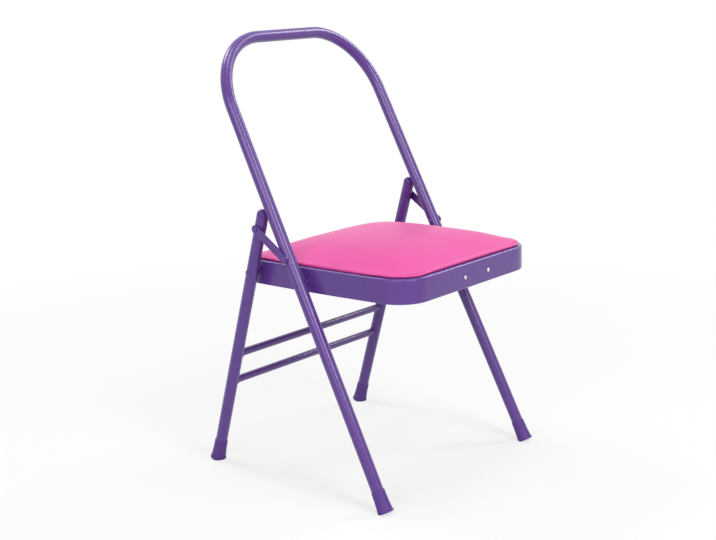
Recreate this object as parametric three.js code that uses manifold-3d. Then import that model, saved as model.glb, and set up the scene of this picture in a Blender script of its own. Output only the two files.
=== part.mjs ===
// Backless folding yoga chair.
// A bent steel tube hoop stands at the front. Two straight tube legs, joined by two braces, stand
// behind it. A pressed steel rim with an upholstered seat hangs between them on four rivets, and two
// strap links hold the legs open. Millimetres, +Z up, +Y to the rear, +X to the right as seen from
// the front. The origin lies on the floor under the middle of the chair.

import * as THREE from 'three';
import { mergeVertices } from 'three/addons/utils/BufferGeometryUtils.js';
import Module from 'manifold-3d';

const wasm = await Module();
wasm.setup();

// Overall sizes
const overallHeight = 800;
const footSpread = 414;
const hoopFootHalfWidth = 224;
const hoopBendRadius = 134;
const crossingHeight = 519.9;
const frontLean = THREE.MathUtils.degToRad(27.6);
const hoopSplay = THREE.MathUtils.degToRad(1);

// Tubes
const tubeRadius = 11;
const tubeWall = 1.2;
const braceRadius = 7;
const braceWall = 1;
const upperBraceHeight = 218.6;
const lowerBraceHeight = 163;
const legSetIn = 0.4;

// Pivots, measured down the hoop from where the legs' axes cross it, and down the leg from its top
const hoopLinkBelowCrossing = 114.7;
const hoopSeatBelowLink = 48;
const legLinkBelowTop = 25.2;
const legSeatBelowLink = 86;

// Seat rim
const seatFrontReach = 222.3;
const seatRearReach = 39.2;
const rimAboveFrontPivot = 26;
const rimAboveRearPivot = 18;
const rimHeight = 44;
const rimWall = 1.5;
const rimEdgeRadius = 3.5;
const rimSideBow = 4.7;
const rimFrontCorner = 54;
const rimLeastCorner = 2;
const rimLipWidth = 7;
const seatHingeRoom = 6.5;
const rearCornerBehindHinge = 2.2;
const flangeBeyondScrew = 4;

// Upholstered seat
const padInset = 5;
const padTuck = 2;
const padTuckHeight = 2.5;
const padEdgeHeight = 7;
const padEdgeRound = 5;
const padCrown = 27.5;
const padFullness = 3;
const boardInset = 15;
const boardThickness = 4;
const coverThickness = 1.2;
const coverReturn = 14;

// Strap links
const linkThickness = 2.4;
const linkBevel = 0.6;
const linkHoopEndRadius = 7.9;
const linkLegEndRadius = 7.8;
const linkWaistDrawIn = 0.5;
const linkFilletRadius = 24;
const linkRunningGap = 0.7;

// Hinge rivets and spacers
const shankRadius = 3;
const hoopLinkHead = { radius: 5.3, height: 2.6 };
const legLinkHead = { radius: 4.8, height: 2.8 };
const seatHead = { radius: 5.8, height: 1.6 };
const rivetTail = { radius: 4.6, height: 1.8 };
const stubEnd = { radius: 2.6, height: 0.2 };
const spacerRadius = 7;

// Front bracket and its blind rivets
const bracketRivetPitch = 72;
const bracketRivetOffset = 8;
const bracketRivetShank = 2;
const bracketRivetHead = { radius: 3.4, height: 1.3 };
const bracketRivetTail = { radius: 2.9, height: 2.4 };
const bracketLength = 104;
const bracketHeight = 26;
const bracketDepth = 20;
const bracketThickness = 2;
const bracketLipGap = 5.5;

// Board screws
const screwRadius = 2;
const screwHead = { radius: 4, height: 2.4 };
const screwTipCover = 0.8;
const screwBesideCover = 5;
const screwEndShare = 0.2;

// Foot tips
const tipHeight = 41;
const tipFlareHeight = 26;
const tipTopReach = 1.1;
const tipSleeveReach = 1.4;
const tipFootReach = 3.1;
const tipBrimReach = 3.8;
const tipBrimHeight = 3.2;
const tipSoleRise = 1;
const tipSole = 4;
const tipRounding = 0.6;

// Leg end plugs
const plugStemLength = 13;
const openStopGap = 0.3;

// Fits: the gap between touching pieces and the overrun of a cut
const fitGap = 0.3;
const overrun = 5;
const holeRadius = shankRadius + fitGap;

// Facets: straight pieces round a full turn, steps along an arc, and the pad's rings as shares
const tubeSides = 16;
const smallSides = 12;
const bendSteps = 12;
const arcSteps = 4;
const domeSteps = 3;
const padSideSteps = 8;
const padCornerSteps = 5;
const padRingShares = [0.93, 0.84, 0.72, 0.57, 0.4, 0.2];

// Finishes
const finishes = {
  purpleCoat: { color: 0x7d699a, roughness: 0.3, metalness: 0.2 },
  purplePlastic: { color: 0x6b568a, roughness: 0.5, metalness: 0 },
  brightZinc: { color: 0xdcdae2, roughness: 0.3, metalness: 0.9 },
  pinkVinyl: { color: 0xf0529f, roughness: 0.42, metalness: 0 },
  paleFoam: { color: 0xe9e2c8, roughness: 0.95, metalness: 0 },
  plywood: { color: 0xc19a6b, roughness: 0.8, metalness: 0 },
};

// Hoop and leg places worked out from the sizes
const rearLean = Math.atan(footSpread / crossingHeight - Math.tan(frontLean));
const hoopTopAlong = (overallHeight - tubeRadius) / Math.cos(frontLean);
const hoopHalfWidthAt = (along) => hoopFootHalfWidth - along * Math.tan(hoopSplay);
const linkPivotOnHoop = crossingHeight / Math.cos(frontLean) - hoopLinkBelowCrossing;
const seatPivotOnHoop = linkPivotOnHoop - hoopSeatBelowLink;
const legHalfWidth = hoopHalfWidthAt(linkPivotOnHoop) - legSetIn;
const stopDistance = 2 * tubeRadius + openStopGap;
const legTubeTop = crossingHeight / Math.cos(rearLean) - stopDistance / Math.sin(frontLean + rearLean);
const linkPivotOnLeg = legTubeTop - legLinkBelowTop;
const seatPivotOnLeg = linkPivotOnLeg - legSeatBelowLink;
const tubeEnd = (lean) => (tipSole + tubeRadius * Math.sin(lean)) / Math.cos(lean);

// Places in the side view, as rearward distance and height
const onHoop = (along) => new THREE.Vector2(along * Math.sin(frontLean), along * Math.cos(frontLean));
const onLeg = (along) => {
  return new THREE.Vector2(footSpread - along * Math.sin(rearLean), along * Math.cos(rearLean));
};

// Seat places: the rim is carried at its two pairs of hinges, and its tilt follows from them
const seatPivotStep = onLeg(seatPivotOnLeg).sub(onHoop(seatPivotOnHoop));
const seatPivotRise = rimAboveFrontPivot - rimAboveRearPivot;
const seatPivotRun = Math.sqrt(seatPivotStep.lengthSq() - seatPivotRise ** 2);
const seatTilt = Math.atan2(seatPivotRise, seatPivotRun) - seatPivotStep.angle();
const rearPivotOnSeat = seatFrontReach + seatPivotRun;
const seatDepth = rearPivotOnSeat + seatRearReach;
const rimRearCorner = seatRearReach - rearCornerBehindHinge;
const seatHalfWidth = hoopHalfWidthAt(seatPivotOnHoop) - tubeRadius - seatHingeRoom;
const seatHinges = {
  front: { y: seatFrontReach, drop: rimAboveFrontPivot },
  rear: { y: rearPivotOnSeat, drop: rimAboveRearPivot },
};

// Screw and link places
const screwInset = padInset + coverReturn + screwBesideCover;
const rimFlangeWidth = screwInset + screwHead.radius + flangeBeyondScrew;
const linkWaistHalfWidth = Math.min(linkHoopEndRadius, linkLegEndRadius) - linkWaistDrawIn;
const linkStep = onLeg(linkPivotOnLeg).sub(onHoop(linkPivotOnHoop));
const linkInnerFace = hoopHalfWidthAt(linkPivotOnHoop) + tubeRadius + linkRunningGap;
const linkOuterFace = linkInnerFace + linkThickness;

const sides = [
  { side: -1, word: 'left' },
  { side: 1, word: 'right' },
];

// A path of stations, each with its point and direction, that a tube section is carried along
class StationPath extends THREE.Curve {
  constructor(stations) {
    super();
    this.stations = stations;
  }

  stationAt(t) {
    return this.stations[Math.round(t * (this.stations.length - 1))];
  }

  getPoint(t, target = new THREE.Vector3()) {
    return target.copy(this.stationAt(t).point);
  }

  getTangent(t, target = new THREE.Vector3()) {
    return target.copy(this.stationAt(t).tangent);
  }

  getUtoTmapping(u) {
    return u;
  }
}

// Solids, cuts and joins
function toSolid(geometry) {
  const bare = geometry.clone();
  bare.deleteAttribute('normal');
  bare.deleteAttribute('uv');
  const merged = mergeVertices(bare);
  return new wasm.Manifold(new wasm.Mesh({
    numProp: 3,
    vertProperties: merged.attributes.position.array,
    triVerts: new Uint32Array(merged.index.array),
  }));
}

function toGeometry(solid) {
  const { vertProperties, triVerts } = solid.getMesh();
  const geometry = new THREE.BufferGeometry();
  geometry.setAttribute('position', new THREE.BufferAttribute(vertProperties, 3));
  geometry.setIndex(new THREE.BufferAttribute(triVerts, 1));
  geometry.computeVertexNormals();
  return geometry;
}

function cut(geometry, cutters) {
  const start = toSolid(geometry);
  return toGeometry(cutters.reduce((solid, cutter) => solid.subtract(toSolid(cutter)), start));
}

function join(first, second) {
  return toGeometry(toSolid(first).add(toSolid(second)));
}

function piece(name, geometry, finish) {
  const mesh = new THREE.Mesh(geometry, new THREE.MeshStandardMaterial(finishes[finish]));
  mesh.name = name;
  return mesh;
}

// Round solids, turned about Z from a profile of radius and height, and laid along X or Y
function turned(profile, steps = tubeSides) {
  const points = profile.map(([radius, height]) => new THREE.Vector2(radius, height));
  return new THREE.LatheGeometry(points, steps).rotateX(Math.PI / 2);
}

function rod(radius, from, to, steps = smallSides) {
  return turned([[0, from], [radius, from], [radius, to], [0, to]], steps);
}

const alongX = (geometry, side = 1) => geometry.rotateY((side * Math.PI) / 2);
const alongY = (geometry) => geometry.rotateX(-Math.PI / 2);

// The profile of a domed end from its rim to the axis, over or under a base height
function domeProfile({ radius, height }, base, way) {
  const points = [];
  for (let step = 0; step < domeSteps; step += 1) {
    const angle = (step * Math.PI) / (2 * domeSteps);
    points.push([radius * Math.cos(angle), base + way * height * Math.sin(angle)]);
  }
  points.push([0, base + way * height]);
  return points;
}

const domeOver = (size, base) => domeProfile(size, base, 1);
const domeUnder = (size, base) => domeProfile(size, base, -1).reverse();

// A tube's section, and a straight tube along Z
function tubeSection(radius, wall) {
  const shape = new THREE.Shape().absarc(0, 0, radius, 0, 2 * Math.PI);
  shape.holes.push(new THREE.Path().absarc(0, 0, radius - wall, 0, 2 * Math.PI));
  return shape;
}

function straightTube(radius, wall, length) {
  const settings = { depth: length, steps: 1, bevelEnabled: false, curveSegments: tubeSides / 2 };
  return new THREE.ExtrudeGeometry(tubeSection(radius, wall), settings);
}

// A hole for a hinge rivet, across both walls of a tube
function crossHole(x, along) {
  const reach = tubeRadius + overrun;
  return alongX(rod(holeRadius, -reach, reach)).translate(x, 0, along);
}

// Front hoop: two splayed runs, two bends and the level top, in one plane
function hoopPath() {
  const foot = tubeEnd(frontLean);
  const bendAlong = hoopTopAlong - hoopBendRadius;
  const bendAcross = hoopHalfWidthAt(bendAlong) - hoopBendRadius / Math.cos(hoopSplay);
  const station = (x, z, angle) => ({
    point: new THREE.Vector3(x, 0, z),
    tangent: new THREE.Vector3(Math.sin(angle), 0, -Math.cos(angle)),
  });
  const bend = (side, first, last) => Array.from({ length: bendSteps + 1 }, (unused, step) => {
    const angle = THREE.MathUtils.lerp(first, last, step / bendSteps);
    const x = side * bendAcross + hoopBendRadius * Math.cos(angle);
    return station(x, bendAlong + hoopBendRadius * Math.sin(angle), angle);
  });
  return new StationPath([
    station(-hoopHalfWidthAt(foot), foot, Math.PI - hoopSplay),
    ...bend(-1, Math.PI - hoopSplay, Math.PI / 2),
    ...bend(1, Math.PI / 2, hoopSplay),
    station(hoopHalfWidthAt(foot), foot, hoopSplay),
  ]);
}

function frontHoop() {
  const extrudePath = hoopPath();
  const tube = new THREE.ExtrudeGeometry(tubeSection(tubeRadius, tubeWall), {
    extrudePath,
    steps: extrudePath.stations.length - 1,
    bevelEnabled: false,
    curveSegments: tubeSides / 2,
  });
  const pivots = [linkPivotOnHoop, seatPivotOnHoop];
  const holes = sides.flatMap(({ side }) => {
    return pivots.map((along) => crossHole(side * hoopHalfWidthAt(along), along));
  });
  return piece('front_hoop', cut(tube, holes), 'purpleCoat');
}

// Foot tip: a blind rubber cup on the tube end, flared downwards to a low brim. Its sole is square to
// the tube, with the low side cut flat where it stands on the floor.
// The tip stands in a frame turned by the tilt about X and then by the turn about Y.
function footTip(name, x, tilt, turn) {
  const lean = Math.abs(tilt);
  const bore = tubeRadius + fitGap;
  const boreFloor = tubeEnd(lean) - fitGap;
  const brimTop = tipSoleRise + tipBrimHeight;
  const cup = turned([
    [0, tipSoleRise],
    [tubeRadius + tipBrimReach - tipRounding, tipSoleRise],
    [tubeRadius + tipBrimReach, tipSoleRise + tipRounding],
    [tubeRadius + tipBrimReach, brimTop],
    [tubeRadius + tipFootReach, brimTop],
    [tubeRadius + tipSleeveReach, tipFlareHeight],
    [tubeRadius + tipTopReach, tipHeight - tipRounding],
    [tubeRadius + tipTopReach - tipRounding, tipHeight],
    [0, tipHeight],
  ]);
  const floorSize = 4 * tipHeight;
  const floor = new THREE.BoxGeometry(floorSize, floorSize, floorSize);
  floor.translate(0, 0, -floorSize / 2);
  floor.rotateX(-tilt).rotateY(-turn);
  const socket = rod(bore, boreFloor, tipHeight + overrun, tubeSides);
  const mesh = piece(name, cut(cup, [floor, socket]), 'purplePlastic');
  mesh.position.x = x;
  mesh.rotation.y = turn;
  return mesh;
}

// Rear legs, their domed end plugs and the two braces between them
function rearLeg(name, side) {
  const foot = tubeEnd(rearLean);
  const tube = straightTube(tubeRadius, tubeWall, legTubeTop - foot).translate(0, 0, foot);
  const holes = [linkPivotOnLeg, seatPivotOnLeg].map((along) => crossHole(0, along));
  const mesh = piece(name, cut(tube, holes), 'purpleCoat');
  mesh.position.x = side * legHalfWidth;
  return mesh;
}

function endPlug(name, side) {
  const stem = tubeRadius - tubeWall - fitGap;
  const cap = { radius: tubeRadius, height: tubeRadius - fitGap };
  const inside = [[0, -plugStemLength], [stem, -plugStemLength], [stem, fitGap]];
  const mesh = piece(name, turned([...inside, ...domeOver(cap, fitGap)]), 'purplePlastic');
  mesh.position.set(side * legHalfWidth, 0, legTubeTop);
  return mesh;
}

function brace(name, height) {
  const tube = straightTube(braceRadius, braceWall, 2 * legHalfWidth).translate(0, 0, -legHalfWidth);
  const reach = tubeRadius + overrun;
  const copes = sides.map(({ side }) => {
    return rod(tubeRadius + fitGap, -reach, reach, tubeSides).translate(side * legHalfWidth, 0, 0);
  });
  const mesh = piece(name, cut(alongX(tube), copes), 'purpleCoat');
  mesh.position.z = height / Math.cos(rearLean);
  return mesh;
}

// Outline of the seat rim, drawn in by an inset: straight front and rear, bowed sides, round corners
const rimHalfDepth = seatDepth / 2;
const rimSideRadius = (rimHalfDepth ** 2 + rimSideBow ** 2) / (2 * rimSideBow);
const rimSideCentre = seatHalfWidth - rimSideRadius;
const rimHalfWidthAt = (y) => rimSideCentre + Math.sqrt(rimSideRadius ** 2 - (y - rimHalfDepth) ** 2);

function rimCorner(cornerRadius, inset, end) {
  const radius = Math.max(cornerRadius - inset, rimLeastCorner);
  const reach = rimSideRadius - inset - radius;
  const rise = end * (rimHalfDepth - inset - radius);
  const x = rimSideCentre + Math.sqrt(reach ** 2 - rise ** 2);
  return { radius, x, y: rimHalfDepth + rise, angle: Math.asin(rise / reach) };
}

function rimOutline(inset) {
  const front = rimCorner(rimFrontCorner, inset, -1);
  const rear = rimCorner(rimRearCorner, inset, 1);
  const sideRadius = rimSideRadius - inset;
  const quarter = Math.PI / 2;
  const shape = new THREE.Shape();
  shape.absarc(front.x, front.y, front.radius, -quarter, front.angle);
  shape.absarc(rimSideCentre, rimHalfDepth, sideRadius, front.angle, rear.angle);
  shape.absarc(rear.x, rear.y, rear.radius, rear.angle, quarter);
  shape.absarc(-rear.x, rear.y, rear.radius, quarter, Math.PI - rear.angle);
  shape.absarc(-rimSideCentre, rimHalfDepth, sideRadius, Math.PI - rear.angle, Math.PI - front.angle);
  shape.absarc(-front.x, front.y, front.radius, Math.PI - front.angle, Math.PI + quarter);
  return shape.closePath();
}

// A slab of the rim's outline between two heights, its edges rounded where it has an edge radius
function slab(inset, bottom, top, edgeRadius = 0) {
  const settings = {
    depth: top - bottom - 2 * edgeRadius,
    steps: 1,
    curveSegments: arcSteps,
    bevelEnabled: edgeRadius > 0,
    bevelThickness: edgeRadius,
    bevelSize: edgeRadius,
    bevelOffset: -edgeRadius,
    bevelSegments: domeSteps,
  };
  return new THREE.ExtrudeGeometry(rimOutline(inset), settings).translate(0, 0, bottom + edgeRadius);
}

// Places on the rim of the bracket rivets and the board screws
const bracketRivetDrop = rimHeight - rimWall - bracketLipGap - bracketHeight / 2;
const bracketRivets = sides.map(({ side, word }) => {
  return { word, x: bracketRivetOffset + (side * bracketRivetPitch) / 2 };
});
const ends = [
  { word: 'front', y: screwEndShare * seatDepth },
  { word: 'rear', y: (1 - screwEndShare) * seatDepth },
];
const boardScrews = sides.flatMap(({ side, word }) => ends.map((end) => {
  return { word: `${end.word}_${word}`, x: side * (rimHalfWidthAt(end.y) - screwInset), y: end.y };
}));

function seatRim() {
  const body = slab(0, -rimHeight - overrun, 0, rimEdgeRadius);
  const below = new THREE.BoxGeometry(4 * seatHalfWidth, 4 * seatDepth, 2 * overrun);
  below.translate(0, rimHalfDepth, -rimHeight - overrun);
  const hollow = slab(rimWall, rimWall - rimHeight, -rimWall, rimEdgeRadius - rimWall);
  const top = slab(rimFlangeWidth, -rimHeight / 2, overrun);
  const mouth = slab(rimLipWidth, -rimHeight - overrun, -rimHeight / 2);
  const hingeHoles = sides.flatMap(({ side }) => Object.values(seatHinges).map(({ y, drop }) => {
    return alongX(rod(holeRadius, -overrun, overrun)).translate(side * rimHalfWidthAt(y), y, -drop);
  }));
  const bracketHoles = bracketRivets.map(({ x }) => {
    return alongY(rod(bracketRivetShank + fitGap, -overrun, overrun)).translate(x, 0, -bracketRivetDrop);
  });
  const screwHoles = boardScrews.map(({ x, y }) => {
    return rod(screwRadius + fitGap, -overrun, overrun).translate(x, y, 0);
  });
  const cuts = [below, hollow, top, mouth, ...hingeHoles, ...bracketHoles, ...screwHoles];
  return piece('seat_rim', cut(body, cuts), 'purpleCoat');
}

// The pad's form: drawn in at the foot, upright at the edge and crowned, less an allowance all round
function padOutline(inset) {
  const curves = rimOutline(inset).curves.filter((curve) => curve.getLength() > fitGap);
  return curves.flatMap((curve) => {
    const steps = curve.getLength() > 2 * rimFrontCorner ? padSideSteps : padCornerSteps;
    return Array.from({ length: steps }, (unused, step) => curve.getPoint(step / steps));
  });
}

function padForm(allowance, bottom) {
  const halfX = seatHalfWidth - padInset;
  const halfY = rimHalfDepth - padInset;
  const widest = padTuckHeight + (coverBottom + bottom) / 2;
  const shoulder = padEdgeHeight - allowance;
  const ring = (inset, share, height, crown) => padOutline(padInset + allowance + inset).map((point) => {
    const x = point.x * share;
    const fromMiddle = (point.y - rimHalfDepth) * share;
    const fallX = Math.abs(x / halfX) ** padFullness;
    const fallY = Math.abs(fromMiddle / halfY) ** padFullness;
    const rise = crown * (1 - fallX) * (1 - fallY);
    return [x, rimHalfDepth + fromMiddle, height + rise];
  });
  const rings = [ring(padTuck, 1, bottom, 0), ring(0, 1, widest, 0)];
  for (let step = 1; step <= domeSteps; step += 1) {
    const angle = (step * Math.PI) / (2 * domeSteps);
    const inset = padEdgeRound * (1 - Math.cos(angle));
    rings.push(ring(inset, 1, THREE.MathUtils.lerp(widest, shoulder, Math.sin(angle)), padCrown));
  }
  for (const share of padRingShares) {
    rings.push(ring(padEdgeRound, share, shoulder, padCrown));
  }
  return ringSolid(rings, [0, rimHalfDepth, bottom], [0, rimHalfDepth, shoulder + padCrown]);
}

// A closed solid of rings, with a point under the first ring and a point over the last
function ringSolid(rings, lowPoint, highPoint) {
  const count = rings[0].length;
  const low = rings.length * count;
  const high = low + 1;
  const lastRing = low - count;
  const index = [];
  for (let i = 0; i < count; i += 1) {
    const next = (i + 1) % count;
    index.push(low, next, i, high, lastRing + i, lastRing + next);
    for (let here = 0; here < lastRing; here += count) {
      const above = here + count;
      index.push(here + i, here + next, above + i, here + next, above + next, above + i);
    }
  }
  const geometry = new THREE.BufferGeometry();
  const positions = [...rings.flat(), lowPoint, highPoint].flat();
  geometry.setAttribute('position', new THREE.Float32BufferAttribute(positions, 3));
  return geometry.setIndex(index);
}

// Seat pad: a plywood board, foam over and round it, and a cover whose edge returns under the board
const coverBottom = fitGap;
const boardBottom = coverBottom + coverThickness + fitGap;
const boardTop = boardBottom + boardThickness;
const screwReach = boardTop - screwTipCover;

function seatBoard() {
  const pilots = boardScrews.map(({ x, y }) => {
    return rod(screwRadius + fitGap, -overrun, screwReach + fitGap).translate(x, y, 0);
  });
  return piece('seat_board', cut(slab(boardInset, boardBottom, boardTop), pilots), 'plywood');
}

function seatFoam() {
  const pocket = slab(boardInset - fitGap, boardBottom - overrun, boardTop + fitGap);
  return piece('seat_foam', cut(padForm(coverThickness + fitGap, boardBottom), [pocket]), 'paleFoam');
}

function seatCover() {
  const inside = padForm(coverThickness, coverBottom + coverThickness);
  const mouth = slab(padInset + coverReturn, -overrun, boardTop);
  return piece('seat_cover', cut(padForm(0, coverBottom), [inside, mouth]), 'pinkVinyl');
}

function boardScrew({ word, x, y }) {
  const base = -rimWall - fitGap;
  const shank = [[screwRadius, base], [screwRadius, screwReach], [0, screwReach]];
  const screw = turned([...domeUnder(screwHead, base), ...shank], smallSides);
  const mesh = piece(`board_screw_${word}`, screw, 'brightZinc');
  mesh.position.set(x, y, 0);
  return mesh;
}

// Front bracket: an angle behind the front of the rim, held by two blind rivets
function frontBracket() {
  const face = rimWall + fitGap;
  const plate = new THREE.BoxGeometry(bracketLength, bracketThickness, bracketHeight);
  plate.translate(bracketRivetOffset, face + bracketThickness / 2, -bracketRivetDrop);
  const foot = new THREE.BoxGeometry(bracketLength, bracketDepth, bracketThickness);
  const footHeight = (bracketThickness - bracketHeight) / 2 - bracketRivetDrop;
  foot.translate(bracketRivetOffset, face + bracketDepth / 2, footHeight);
  const holes = bracketRivets.map(({ x }) => {
    return alongY(rod(bracketRivetShank + fitGap, -overrun, overrun)).translate(x, face, -bracketRivetDrop);
  });
  return piece('front_bracket', cut(join(plate, foot), holes), 'purpleCoat');
}

// A rivet along Z: its head under zero, its shank up through the grip and its tail beyond
function rivet(head, shank, grip, tail) {
  const profile = [...domeUnder(head, 0), [shank, 0], [shank, grip], ...domeOver(tail, grip)];
  return turned(profile, smallSides);
}

// A rivet on one side, through all that lies between an outer and an inner face across the chair
function sideRivet(name, side, outerFace, innerFace, head, tail = rivetTail) {
  const grip = outerFace - innerFace + 2 * fitGap;
  const mesh = piece(name, alongX(rivet(head, shankRadius, grip, tail), -side), 'purpleCoat');
  mesh.position.x = side * (outerFace + fitGap);
  return mesh;
}

function bracketRivet({ word, x }) {
  const grip = rimWall + bracketThickness + 3 * fitGap;
  const body = rivet(bracketRivetHead, bracketRivetShank, grip, bracketRivetTail);
  const mesh = piece(`bracket_rivet_${word}`, alongY(body), 'brightZinc');
  mesh.position.set(x, -fitGap, -bracketRivetDrop);
  return mesh;
}

// A spacer on a seat hinge, from the tube in to the rim, with its inner end cut to the bowed rim
function hingeSpacer(name, side, { y, drop }, tubeFace) {
  const outerEnd = tubeFace - fitGap - spacerRadius * Math.tan(hoopSplay);
  const innerEnd = rimHalfWidthAt(y) - overrun;
  const body = rod(spacerRadius, innerEnd, outerEnd, tubeSides);
  const bore = rod(holeRadius, innerEnd - overrun, outerEnd + overrun, smallSides);
  for (const round of [body, bore]) {
    alongX(round, side).translate(0, y, -drop);
  }
  return piece(name, cut(body, [bore, slab(-fitGap, -rimHeight, 0)]), 'purpleCoat');
}

// Strap link: two round ends and a waist between them, joined by hollow fillets
function linkOutline(length) {
  const fillet = (endRadius) => {
    const reach = endRadius + linkFilletRadius;
    const rise = linkWaistHalfWidth + linkFilletRadius;
    return { run: Math.sqrt(reach ** 2 - rise ** 2), rise, angle: Math.asin(rise / reach) };
  };
  const near = fillet(linkHoopEndRadius);
  const far = fillet(linkLegEndRadius);
  const up = Math.PI / 2;
  const shape = new THREE.Shape();
  shape.absarc(0, 0, linkHoopEndRadius, near.angle, -near.angle);
  shape.absarc(near.run, -near.rise, linkFilletRadius, Math.PI - near.angle, up, true);
  shape.absarc(length - far.run, -far.rise, linkFilletRadius, up, far.angle, true);
  shape.absarc(length, 0, linkLegEndRadius, far.angle - Math.PI, Math.PI - far.angle);
  shape.absarc(length - far.run, far.rise, linkFilletRadius, -far.angle, -up, true);
  shape.absarc(near.run, near.rise, linkFilletRadius, -up, near.angle - Math.PI, true);
  return shape;
}

function strapLink(name, side) {
  const strap = new THREE.ExtrudeGeometry(linkOutline(linkStep.length()), {
    depth: linkThickness - 2 * linkBevel,
    steps: 1,
    curveSegments: arcSteps,
    bevelThickness: linkBevel,
    bevelSize: linkBevel,
    bevelOffset: -linkBevel,
    bevelSegments: 1,
  });
  strap.translate(0, 0, linkBevel - linkThickness / 2);
  const holes = [0, linkStep.length()].map((x) => {
    return rod(holeRadius, -overrun, overrun).translate(x, 0, 0);
  });
  const flat = cut(strap, holes);
  const xAxis = new THREE.Vector3(1, 0, 0);
  const yAxis = new THREE.Vector3(0, 1, 0);
  const zAxis = new THREE.Vector3(0, 0, 1);
  flat.applyMatrix4(new THREE.Matrix4().makeBasis(yAxis, zAxis, xAxis));
  const mesh = piece(name, flat, 'purpleCoat');
  mesh.position.x = side * (linkInnerFace + linkThickness / 2);
  return mesh;
}

// Groups, each in the frame that its pieces are made in
function frameGroup({ x: y, y: z }, tilt) {
  const group = new THREE.Group();
  group.position.set(0, y, z);
  group.rotation.x = tilt;
  return group;
}

function frontFrame() {
  const group = frameGroup(onHoop(0), -frontLean);
  group.add(frontHoop());
  for (const { side, word } of sides) {
    const turn = -side * hoopSplay;
    group.add(footTip(`front_foot_tip_${word}`, side * hoopFootHalfWidth, -frontLean, turn));
    const linkRivet = sideRivet(`link_hoop_rivet_${word}`, side, linkOuterFace,
      hoopHalfWidthAt(linkPivotOnHoop) - tubeRadius, hoopLinkHead);
    linkRivet.position.z = linkPivotOnHoop;
    group.add(linkRivet);
  }
  return group;
}

function rearFrame() {
  const group = frameGroup(onLeg(0), rearLean);
  group.add(brace('upper_brace', upperBraceHeight), brace('lower_brace', lowerBraceHeight));
  for (const { side, word } of sides) {
    group.add(rearLeg(`rear_leg_${word}`, side), endPlug(`leg_end_plug_${word}`, side));
    group.add(footTip(`rear_foot_tip_${word}`, side * legHalfWidth, rearLean, 0));
    const pin = sideRivet(`link_leg_pin_${word}`, side, legHalfWidth + tubeRadius,
      legHalfWidth - tubeRadius, stubEnd);
    pin.position.z = linkPivotOnLeg;
    group.add(pin);
  }
  return group;
}

function seat() {
  const front = onHoop(seatPivotOnHoop);
  const corner = new THREE.Vector2(-seatFrontReach, rimAboveFrontPivot);
  const group = frameGroup(front.add(corner.rotateAround(new THREE.Vector2(), -seatTilt)), -seatTilt);
  group.add(seatRim(), seatBoard(), seatFoam(), seatCover(), frontBracket());
  group.add(...bracketRivets.map(bracketRivet), ...boardScrews.map(boardScrew));
  const rimInner = ({ y }) => {
    const around = [y - rivetTail.radius, y + rivetTail.radius];
    return Math.min(...around.map(rimHalfWidthAt)) - rimWall;
  };
  const faces = {
    front: hoopHalfWidthAt(seatPivotOnHoop),
    rear: legHalfWidth,
  };
  for (const { side, word } of sides) {
    for (const [end, hinge] of Object.entries(seatHinges)) {
      group.add(hingeSpacer(`seat_${end}_spacer_${word}`, side, hinge, faces[end] - tubeRadius));
      const pin = sideRivet(`seat_${end}_rivet_${word}`, side, faces[end] + tubeRadius,
        rimInner(hinge), seatHead);
      pin.position.y = hinge.y;
      pin.position.z = -hinge.drop;
      group.add(pin);
    }
  }
  return group;
}

function links() {
  const group = frameGroup(onHoop(linkPivotOnHoop), linkStep.angle());
  for (const { side, word } of sides) {
    const head = sideRivet(`link_leg_rivet_${word}`, side, linkOuterFace, linkInnerFace + 2 * fitGap,
      legLinkHead, stubEnd);
    head.position.y = linkStep.length();
    group.add(strapLink(`link_${word}`, side), head);
  }
  return group;
}

// The whole chair, moved so that the origin is under the middle of its box
const chair = new THREE.Group();
chair.add(frontFrame(), rearFrame(), seat(), links());
chair.position.y = -new THREE.Box3().setFromObject(chair, true).getCenter(new THREE.Vector3()).y;

const part = new THREE.Group();
part.add(chair);

export default part;
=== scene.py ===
"""Backless yoga chair: smooth, finished pieces over the packed frame, and a plain studio round it.

Every length is in metres, in the frame of the packed model: +Z up, +Y to the rear, +X to the right as
seen from the front, with the origin on the floor under the middle of the chair.
"""

import math

import bmesh
import bpy
import numpy as np
from mathutils import Matrix, Vector


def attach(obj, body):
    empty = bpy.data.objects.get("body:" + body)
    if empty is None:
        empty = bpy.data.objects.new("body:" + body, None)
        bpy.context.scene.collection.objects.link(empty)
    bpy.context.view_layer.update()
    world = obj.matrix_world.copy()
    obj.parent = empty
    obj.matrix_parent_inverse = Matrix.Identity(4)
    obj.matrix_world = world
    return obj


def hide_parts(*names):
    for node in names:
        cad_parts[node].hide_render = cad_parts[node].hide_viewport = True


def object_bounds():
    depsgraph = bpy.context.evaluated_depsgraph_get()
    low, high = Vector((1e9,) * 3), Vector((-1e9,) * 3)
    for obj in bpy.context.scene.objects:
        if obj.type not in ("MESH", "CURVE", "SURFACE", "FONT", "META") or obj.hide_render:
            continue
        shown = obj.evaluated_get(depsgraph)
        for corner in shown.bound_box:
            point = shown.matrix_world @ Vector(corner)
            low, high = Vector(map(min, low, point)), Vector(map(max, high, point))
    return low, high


bl_info = {
    "name": "Backless Yoga Chair",
    "version": (1, 0, 0),
    "blender": (4, 5, 0),
    "location": "View3D > Sidebar > Yoga Chair",
    "description": "Models the finished pieces of a folding yoga chair and its studio",
    "category": "Object",
}

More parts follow.
